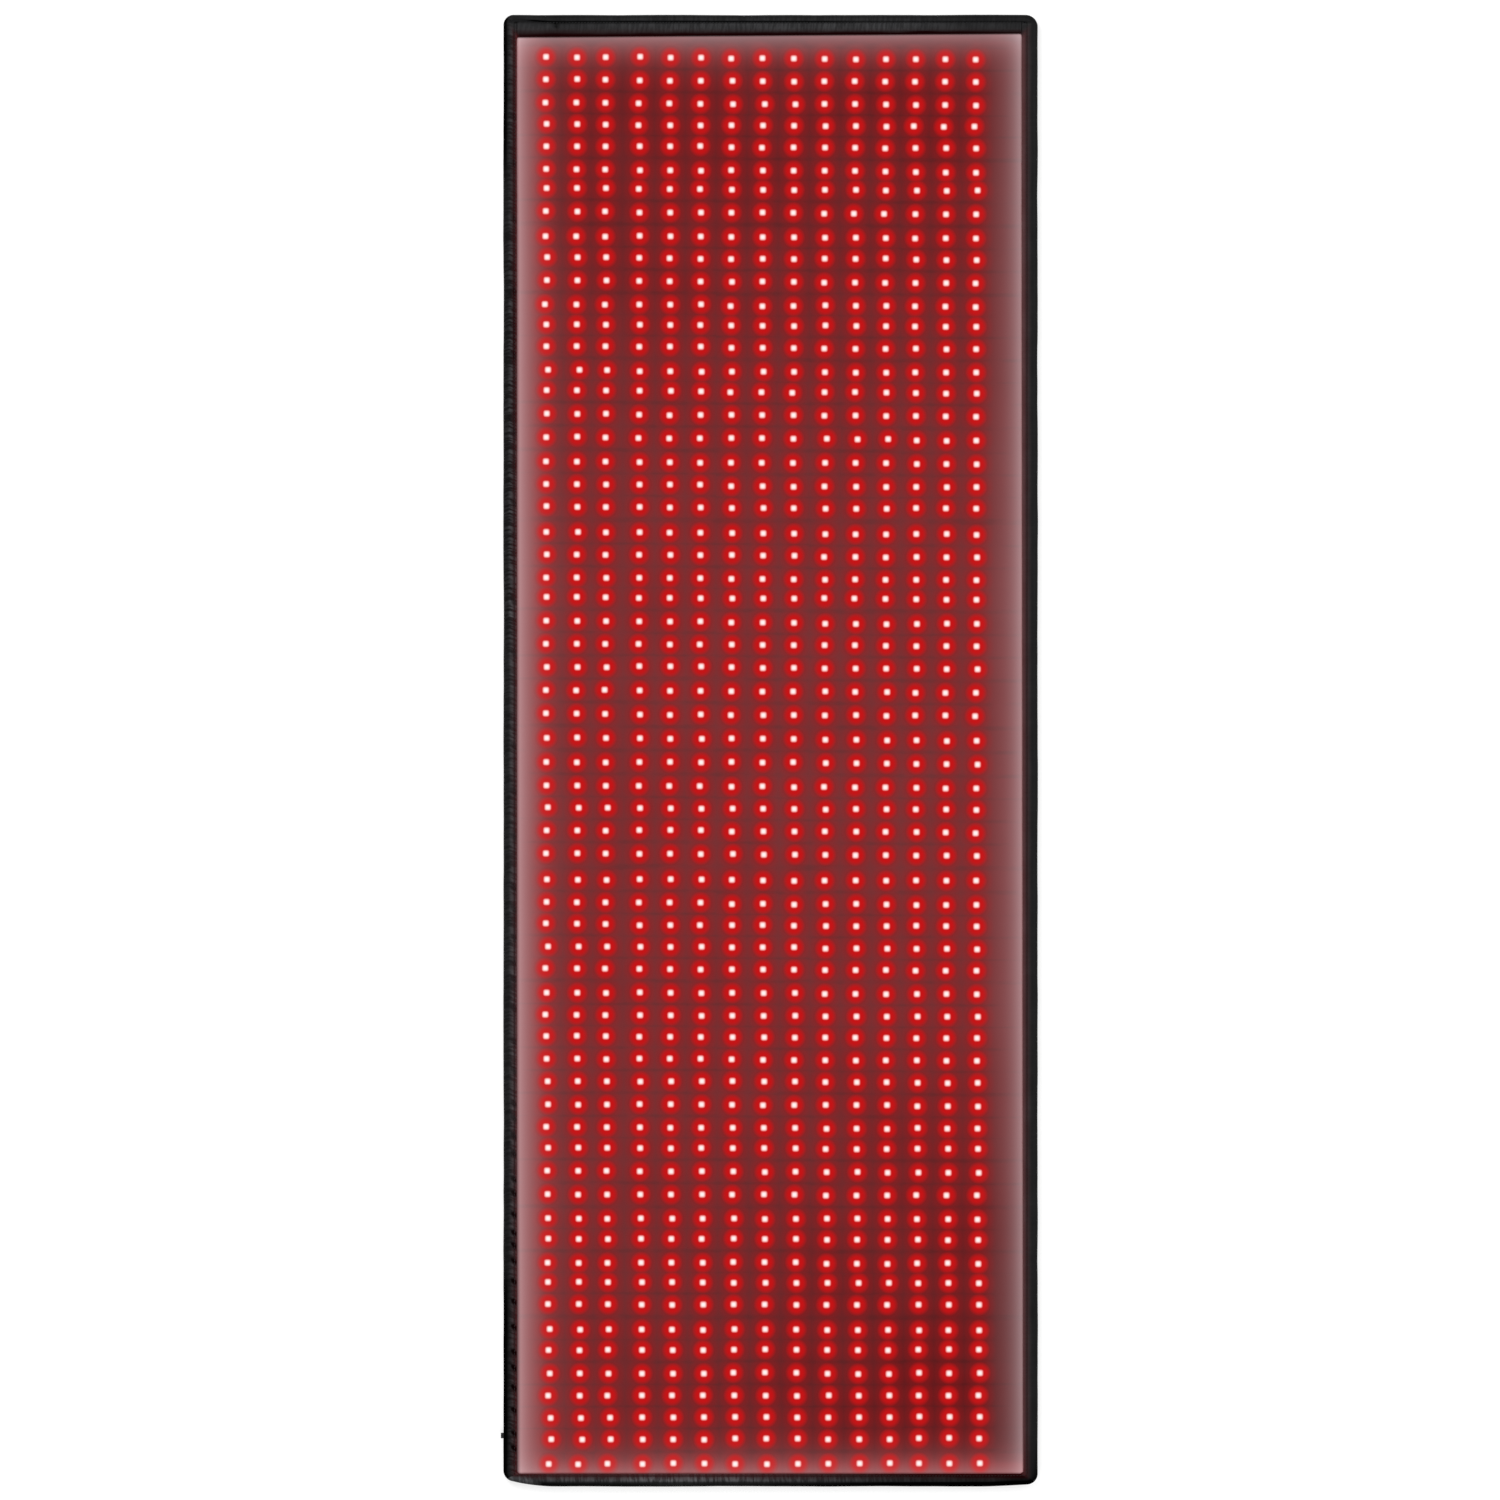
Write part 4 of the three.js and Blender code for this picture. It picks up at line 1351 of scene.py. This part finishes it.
def room_inset(height):
    """Where the binding's inner wall leaves room at a height."""
    rise = min(abs(height - roll_radius), binding_room)
    return roll_radius - math.sqrt(binding_room ** 2 - rise ** 2)


paint = Paint("black_foam")
pores = paint.node("TexVoronoi", {}, {"Vector": paint.place(), "Scale": 1 / PORE_SIZE})
foam_finish = paint.finish(
    Base_Color=paint.mix(paint.grain(30.0) * 0.03 + pores * 0.03 + 0.02, BLACK, (1.0, 1.0, 1.05)),
    Roughness=0.95,
    Specular_IOR_Level=0.2,
    Normal=paint.bump(pores, 0.3 * MM),
)
foam_heights = [foam_low.z + (foam_high.z - foam_low.z) * share for share in FOAM_SHARES]
foam_section = [(FLAT_INSET, foam_low.z)]
foam_section += [(room_inset(height), height) for height in foam_heights]
foam_section += [(room_inset(foam_high.z) + 0.5 * MM, foam_high.z), (FLAT_INSET, foam_high.z)]
foam_shape = filled_rings(foam_section, FOAM_SPACING, pocket=True)
foam_pad = make_piece("foam_pad", foam_shape, [foam_finish], ["foam_core"])

# %% [markdown]
# ## The carrier
#
# The LED strips are stuck to a thin black fabric on the foam. It is a plain weave: two sets of
# waves at a right angle stand for warp and weft.

# %% Carrier
WEAVE_PITCH = 0.5 * MM
WEAVE_DEPTH = 0.08 * MM
CARRIER_TONE = 0.012
CARRIER_TINT = (1.0, 0.8, 0.85)
CARRIER_WALL = 0.5 * MM

paint = Paint("carrier_cloth")
thread_waves = {"Vector": paint.place(), "Scale": 0.5 / WEAVE_PITCH}
warps, wefts = (paint.node("TexWave", {"bands_direction": way}, thread_waves) for way in "XY")
weave = warps * wefts
blotch = paint.grain(24.0, detail=3.0)
carrier_cloth = paint.finish(
    Base_Color=paint.mix((0.7 + blotch * 0.5 + weave * 0.25) * CARRIER_TONE, BLACK, CARRIER_TINT),
    Roughness=0.85 + weave * 0.1,
    Specular_IOR_Level=0.08,
    Normal=paint.bump(weave, WEAVE_DEPTH, 0.7),
)
carrier_low, carrier_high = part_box("led_carrier")
carrier_edge = room_inset(carrier_low.z)
carrier_top = carrier_high.z - 0.05 * MM
carrier_section = [(FLAT_INSET, carrier_top), (carrier_edge, carrier_top)]
carrier_shape = filled_rings(carrier_section, FOAM_SPACING, pocket=True)
face_way(carrier_shape, up=True)
carrier = make_piece("carrier_sheet", carrier_shape, [carrier_cloth], ["led_carrier"])
thicken(carrier, CARRIER_WALL)

# %% [markdown]
# ## Finishes with one grain
#
# Thread, rubber, board, tin, copper and wire are plain stuff. One noise is enough for each: it
# moves the colour between two near ones, and for most the roughness and the bump with it.


# %% One-grain finish
def plain_finish(name, low, high, grain, roughness, depth=0.0, stretch=None, **sockets):
    """Grain is a noise's scale and detail, roughness its lowest value and its spread. Stretch is
    there for what is drawn out along an axis."""
    paint = Paint(name)
    vector = paint.stretched(paint.place(), stretch) if stretch else None
    speckle = paint.grain(grain[0], vector, grain[1])
    if depth:
        sockets["Normal"] = paint.bump(speckle, depth)
    least, spread = roughness
    sockets["Roughness"] = speckle * spread + least if spread else least
    return paint.finish(Base_Color=paint.mix(speckle, low, high), **sockets)


thread_finish = plain_finish(
    "black_thread", (0.001, 0.001, 0.001), (0.01, 0.01, 0.011), (1.0, 2.0), (0.6, 0.0), 0.05 * MM,
    stretch=(2600.0, 2600.0, 900.0), Specular_IOR_Level=0.2,
)
rubber_finish = plain_finish(
    "gland_rubber", (0.003, 0.003, 0.0035), (0.012, 0.012, 0.013), (900.0, 3.0), (0.5, 0.2), 0.05 * MM,
    Specular_IOR_Level=0.12,
)
print(thread_finish.name, rubber_finish.name)

# %% [markdown]
# ## The seam
#
# One line of black thread holds binding, tape, film, foam and rear sheet together. A stitch is a
# short pill that dips into the cloth at both ends, so a small sphere is stretched and laid along
# the seam again and again. It has few faces, because there are more than a thousand.

# %% Stitches
STITCH_PITCH = 3.4 * MM
STITCH_SIZE = (2.7 * MM, 0.66 * MM, 0.5 * MM)
STITCH_SIDES = 6
STITCH_RINGS = 4
# How far a stitch is turned off the seam on average, and how much that varies, in radians.
STITCH_LEAN = (0.1, 0.05)
STITCH_RISE = 0.3 * MM
SEAM_BESIDE = 0.7 * MM
HEAD_ZONE = 10 * MM
ORIGIN = (0, 0, 0)


def seam_points(insets):
    """Places and directions along the closed seam, one for each stitch."""
    run = outline(insets, STITCH_PITCH)
    run.append(run[0])
    travelled, wanted, stitches = 0.0, 0.0, []
    for here, following in zip(run, run[1:]):
        step = following - here
        while wanted < travelled + step.length:
            place = here + step * ((wanted - travelled) / step.length)
            if insets["head"] < insets["foot"] and place.y > half_length - HEAD_ZONE:
                place.y -= seam_shift(place.x)
            stitches.append((place, math.atan2(step.y, step.x)))
            wanted += STITCH_PITCH
        travelled += step.length
    return stitches


def template(shape):
    """A mesh to copy from."""
    mesh = bpy.data.meshes.new("template")
    shape.to_mesh(mesh)
    shape.free()
    return mesh


def standing(place, turn):
    """The matrix that turns a copy about the upright and sets it on a place."""
    return Matrix.Translation(place) @ Matrix.Rotation(turn, 4, "Z")


def scatter(shape, mesh, matrices):
    """Adds a copy of the mesh for every matrix."""
    first, size = len(shape.verts), len(mesh.vertices)
    for _ in matrices:
        shape.from_mesh(mesh, face_normals=False)
    shape.verts.ensure_lookup_table()
    for index, matrix in enumerate(matrices):
        start = first + index * size
        for vertex in shape.verts[start:start + size]:
            vertex.co = matrix @ vertex.co


def stitch_shape():
    """One pill. The sphere's poles point along the stitch."""
    shape = bmesh.new()
    bmesh.ops.create_uvsphere(shape, u_segments=STITCH_SIDES, v_segments=STITCH_RINGS, radius=0.5)
    bmesh.ops.rotate(shape, verts=shape.verts, cent=ORIGIN, matrix=Matrix.Rotation(math.pi / 2, 3, "Y"))
    bmesh.ops.scale(shape, verts=shape.verts, vec=STITCH_SIZE)
    return shape


def stitch_row(insets, height):
    row = bmesh.new()
    lean = random.Random(8)
    matrices = [
        standing(Vector((place.x, place.y, height)), turn + lean.gauss(*STITCH_LEAN))
        for place, turn in seam_points(insets)
    ]
    scatter(row, stitch, matrices)
    return row


stitch = template(stitch_shape())
seam_insets = {side: reach + SEAM_BESIDE for side, reach in LIP_REACH.items()}
seam = stitch_row(seam_insets, TAPE_TOP + STITCH_RISE)
make_piece("seam_stitches", seam, [thread_finish], ["seam_thread"])
rear_seam = stitch_row(even(REAR_SEAM), STITCH_RISE)
make_piece("rear_stitches", rear_seam, [thread_finish])

# %% [markdown]
# ## The gland
#
# A rubber gland lines the hole where the power lead leaves the left edge. It is a turned shape, so
# its profile is drawn once and spun round the hole's middle, and then its sharp rims are rounded
# with a bevel. Only its plain nose shows, and a flange behind the binding holds it.

# %% Gland
GLAND_BORE = 2.2 * MM
GLAND_OUTER = 3 * MM
GLAND_TURNS = 48
GLAND_ROUNDING = 0.22 * MM
GLAND_TAIL = 1.5 * MM
flange_radius = (gland_high.z - gland_low.z) / 2
gland_tip, gland_end = gland_low.x, gland_high.x
flange_start = -half_width + room_inset(gland_z - flange_radius)
flange_end = gland_end - GLAND_TAIL
gland_profile = [
    (GLAND_BORE, gland_tip),
    (GLAND_OUTER, gland_tip),
    (GLAND_OUTER, flange_start),
    (flange_radius, flange_start),
    (flange_radius, flange_end),
    (GLAND_OUTER, flange_end),
    (GLAND_OUTER, gland_end),
    (GLAND_BORE, gland_end),
]
gland_shape = bmesh.new()
points = [gland_shape.verts.new((x, gland_y, gland_z + radius)) for radius, x in gland_profile]
lines = [gland_shape.edges.new(pair) for pair in zip(points, points[1:] + points[:1])]
bmesh.ops.spin(
    gland_shape,
    geom=points + lines,
    cent=(0, gland_y, gland_z),
    axis=(1, 0, 0),
    angle=2 * math.pi,
    steps=GLAND_TURNS,
    use_merge=True,
)
bmesh.ops.remove_doubles(gland_shape, verts=gland_shape.verts, dist=0.001 * MM)
bmesh.ops.recalc_face_normals(gland_shape, faces=gland_shape.faces)
sharp = math.radians(60)
rims = [edge for edge in gland_shape.edges if edge.is_manifold and edge.calc_face_angle() > sharp]
bmesh.ops.bevel(
    gland_shape, geom=rims, offset=GLAND_ROUNDING, segments=3, profile=0.5, affect="EDGES", material=-1
)
make_piece("gland_sleeve", gland_shape, [rubber_finish], ["lead_gland"])

# %% [markdown]
# ## The LED package
#
# Under each bright spot sits a white package, 5 mm square, with a round recess that holds the
# glowing chip, and one cut corner that marks its negative side. It starts as a ring of twelve
# corners, which lets the same ring be a circle at the recess and a square at the outside. Each
# further ring is extruded from the last.

# %% One package
PACKAGE_HALF = 2.5 * MM
PACKAGE_HEIGHT = 1.6 * MM
RECESS_DEPTH = 0.35 * MM
RECESS_FLOOR = 1.85 * MM
RECESS_RIM = 2.05 * MM
PACKAGE_EDGE = 0.12 * MM
CUT_CORNER = 0.8
RING_CORNERS = 12


def squared(way, half):
    """The place on a square in this direction, with one corner cut."""
    place = way * (half / max(abs(way.x), abs(way.y)))
    is_cut = place.x > 0.9 * half and place.y < -0.9 * half
    return place * (CUT_CORNER if is_cut else 1.0)


def package_shape():
    shape = bmesh.new()
    bmesh.ops.create_circle(shape, cap_ends=True, segments=RING_CORNERS, radius=RECESS_FLOOR)
    turn = Matrix.Rotation(math.pi / RING_CORNERS, 3, "Z")
    bmesh.ops.rotate(shape, verts=shape.verts, cent=ORIGIN, matrix=turn)
    bmesh.ops.translate(shape, verts=shape.verts, vec=(0, 0, PACKAGE_HEIGHT - RECESS_DEPTH))
    chip, rim = list(shape.faces), list(shape.edges)
    levels = [
        (RECESS_RIM, PACKAGE_HEIGHT, False),
        (PACKAGE_HALF - PACKAGE_EDGE, PACKAGE_HEIGHT, True),
        (PACKAGE_HALF, PACKAGE_HEIGHT - PACKAGE_EDGE, True),
        (PACKAGE_HALF, 0.0, True),
    ]
    for reach, height, is_square in levels:
        made = bmesh.ops.extrude_edge_only(shape, edges=rim)["geom"]
        for vertex in (item for item in made if isinstance(item, bmesh.types.BMVert)):
            way = towards(math.atan2(vertex.co.y, vertex.co.x))
            place = squared(way, reach) if is_square else way * reach
            vertex.co = (place.x, place.y, height)
        rim = [item for item in made if isinstance(item, bmesh.types.BMEdge)]
    bmesh.ops.edgeloop_fill(shape, edges=rim)
    bmesh.ops.recalc_face_normals(shape, faces=shape.faces)
    for face in chip:
        face.material_index = 1
    return shape


package = template(package_shape())
print("one package has", len(package.polygons), "faces")

# %% [markdown]
# ## Finishes of the strips
#
# The board is white with a lacquer sheen. Pads and tails are tinned copper, resistors are black
# with bright ends, and a package is white with a glowing chip in its recess.

# %% Strip finishes
board_finish = plain_finish(
    "white_board", (0.62, 0.58, 0.56), (0.78, 0.74, 0.72), (120.0, 3.0), (0.25, 0.2), 0.05 * MM
)
package_finish = plain_finish(
    "package_white", (0.72, 0.7, 0.68), (0.84, 0.82, 0.8), (700.0, 2.0), (0.35, 0.15)
)
tin_finish = plain_finish(
    "tinned_copper", (0.5, 0.47, 0.44), (0.72, 0.7, 0.68), (500.0, 3.0), (0.2, 0.25), 0.08 * MM,
    Metallic=1.0,
)
resistor_finish = plain_finish(
    "resistor_black", (0.006, 0.006, 0.007), (0.02, 0.02, 0.022), (800.0, 2.0), (0.3, 0.2)
)
paint = Paint("lit_chip")
chip_finish = paint.finish(
    Base_Color=(0.3, 0.02, 0.02),
    Roughness=0.25,
    Emission_Color=paint.mix(paint.grain(900.0), (1.0, 0.08, 0.06), (1.0, 0.3, 0.25)),
    Emission_Strength=2.0,
)
STRIP_FINISHES = [package_finish, chip_finish, board_finish, tin_finish, resistor_finish]
print([material.name for material in STRIP_FINISHES])

# %% [markdown]
# ## The LED strips
#
# Three rows of strip and the rails that join them make one board. A grid with uneven lines has a
# face for each stretch of strip and rail, and the faces between the strips are deleted before the
# board is extruded. Packages, solder pads and resistors are set on it one by one.

# %% Strips
BOARD_WALL = 0.3 * MM
BOARD_HALF = 5 * MM
RAIL = 5 * MM
FIRST_LED = 16.65 * MM
TAIL_REACH = 9.5 * MM
TAIL_LAP = 3 * MM
TAIL_HALF = 2 * MM
TAIL_WALL = 0.25 * MM
TAIL_STEPS = 8
TAIL_GAP = 0.32 * MM
TAIL_ARCH = 0.3 * MM
PAD_SIZE = (0.9 * MM, 3.4 * MM, 0.3 * MM)
PAD_LAP = 0.2 * MM
JOINT_PAD = (2.4 * MM, 2.2 * MM, 0.12 * MM)
JOINT_BESIDE = 2.6 * MM
RESISTOR_SIZE = (3.1 * MM, 1.6 * MM, 0.55 * MM)
RESISTOR_BAND = 0.16
MATERIAL_BOARD, MATERIAL_TIN, MATERIAL_RESISTOR = 2, 3, 4


def block(size, material, bands=0.0):
    """A small block that stands on its place. Its ends are tinned, for a share of its length."""
    shape = bmesh.new()
    bmesh.ops.create_cube(shape, size=1.0)
    bmesh.ops.scale(shape, verts=shape.verts, vec=size)
    bmesh.ops.translate(shape, verts=shape.verts, vec=(0, 0, size[2] / 2))
    band_start = size[0] * (0.5 - bands)
    for cut in (-band_start, band_start) if bands else ():
        everything = [*shape.verts, *shape.edges, *shape.faces]
        bmesh.ops.bisect_plane(shape, geom=everything, plane_co=(cut, 0, 0), plane_no=(1, 0, 0))
    for face in shape.faces:
        is_band = bands and abs(face.calc_center_median().x) > band_start
        face.material_index = MATERIAL_TIN if is_band else material
    bmesh.ops.recalc_face_normals(shape, faces=shape.faces)
    return template(shape)


def add_board(shape, panel, left, right):
    """Strips and rails, from a grid whose faces between the strips are deleted."""
    along = [left, left + RAIL, right - RAIL, right]
    across = [row + side for row in panel.rows for side in (-BOARD_HALF, BOARD_HALF)]
    corner_of = {}
    for vertex, column, line in grid(shape, len(along) - 1, len(across) - 1):
        corner_of[vertex] = (column, line)
        vertex.co = panel.point(along[column], across[line], panel.low)
    faces, gaps = [], []
    for face in shape.faces:
        column, line = min(corner_of[vertex] for vertex in face.verts)
        (gaps if column == 1 and line % 2 == 1 else faces).append(face)
    bmesh.ops.delete(shape, geom=gaps, context="FACES_ONLY")
    raise_faces(shape, faces, BOARD_WALL)
    for face in shape.faces:
        face.material_index = MATERIAL_BOARD


def add_tail(shape, panel, start, end):
    """A tinned strap from the board down onto the bus tape."""
    middle = panel.rows[len(panel.rows) // 2]
    corners = grid(shape, TAIL_STEPS, 1)
    made = [vertex for vertex, _, _ in corners]
    for vertex, step, line in corners:
        share = step / TAIL_STEPS
        across = middle + TAIL_HALF * (2 * line - 1)
        height = panel.low + BOARD_WALL + TAIL_GAP + TAIL_ARCH * hump(share - 0.3, 0.3)
        vertex.co = panel.point(start + (end - start) * share, across, height)
    made += raise_faces(shape, list({face for vertex in made for face in vertex.link_faces}), TAIL_WALL)
    for vertex in made:
        for face in vertex.link_faces:
            face.material_index = MATERIAL_TIN


def strip_shape(panel):
    shape = bmesh.new()
    left, right = panel.columns[0] - FIRST_LED, panel.columns[-1] + FIRST_LED
    add_board(shape, panel, left, right)
    add_tail(shape, panel, left + TAIL_LAP, left - TAIL_REACH)
    add_tail(shape, panel, right - TAIL_LAP, right + TAIL_REACH)
    bmesh.ops.recalc_face_normals(shape, faces=shape.faces)
    deck = panel.low + BOARD_WALL
    reach = panel.along * (PACKAGE_HALF + PAD_SIZE[0] / 2 - PAD_LAP)
    leds, resistors, joints = [], [], []
    for row, row_place in enumerate(panel.rows):
        leds += panel.leds(row, deck)
        for column, column_place in enumerate(panel.columns):
            after = column_place + FIRST_LED
            if column % UNIT_LEDS == 1:
                resistors.append(panel.point(after, row_place, deck))
            if column % UNIT_LEDS == 2 and column + 1 < len(panel.columns):
                joints += [panel.point(after, row_place + side * JOINT_BESIDE, deck) for side in (-1, 1)]
    pads = [led + side * reach for led in leds for side in (-1, 1)]
    turn = math.atan2(panel.along.y, panel.along.x)
    for mesh, places in ((package, leds), (pad, pads), (resistor, resistors), (joint_pad, joints)):
        scatter(shape, mesh, [standing(place, turn) for place in places])
    return shape


pad = block(PAD_SIZE, MATERIAL_TIN)
resistor = block(RESISTOR_SIZE, MATERIAL_RESISTOR, RESISTOR_BAND)
joint_pad = block(JOINT_PAD, MATERIAL_TIN)
for panel, node in zip(panels, PANEL_NAMES):
    name = node.replace("led_panel", "led_strips")
    make_piece(name, strip_shape(panel), STRIP_FINISHES, [node], smooth=False)

# %% [markdown]
# ## Bus tapes and wires
#
# These are firm and have the right shape as they are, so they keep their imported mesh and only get
# a finish: copper foil that has been rubbed flat, and the plastic of a hook-up wire.

# %% Copper and sheaths
copper_finish = plain_finish(
    "copper_foil", (0.55, 0.22, 0.12), (0.8, 0.4, 0.25), (1.0, 4.0), (0.2, 0.3), 0.05 * MM,
    stretch=(900.0, 30.0, 900.0), Metallic=1.0,
)
red_sheath = plain_finish(
    "red_sheath", (0.3, 0.006, 0.008), (0.4, 0.014, 0.016), (400.0, 3.0), (0.3, 0.2), 0.03 * MM
)
black_sheath = plain_finish(
    "black_sheath", (0.007, 0.007, 0.007), (0.014, 0.014, 0.014), (400.0, 3.0), (0.3, 0.2), 0.03 * MM
)
NODE_FINISHES = {
    "bus_positive": copper_finish,
    "bus_negative": copper_finish,
    "feed_wire_positive": red_sheath,
    "feed_wire_negative": black_sheath,
}
for node, finish in NODE_FINISHES.items():
    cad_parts[node].material_slots[0].material = finish
print(list(NODE_FINISHES))
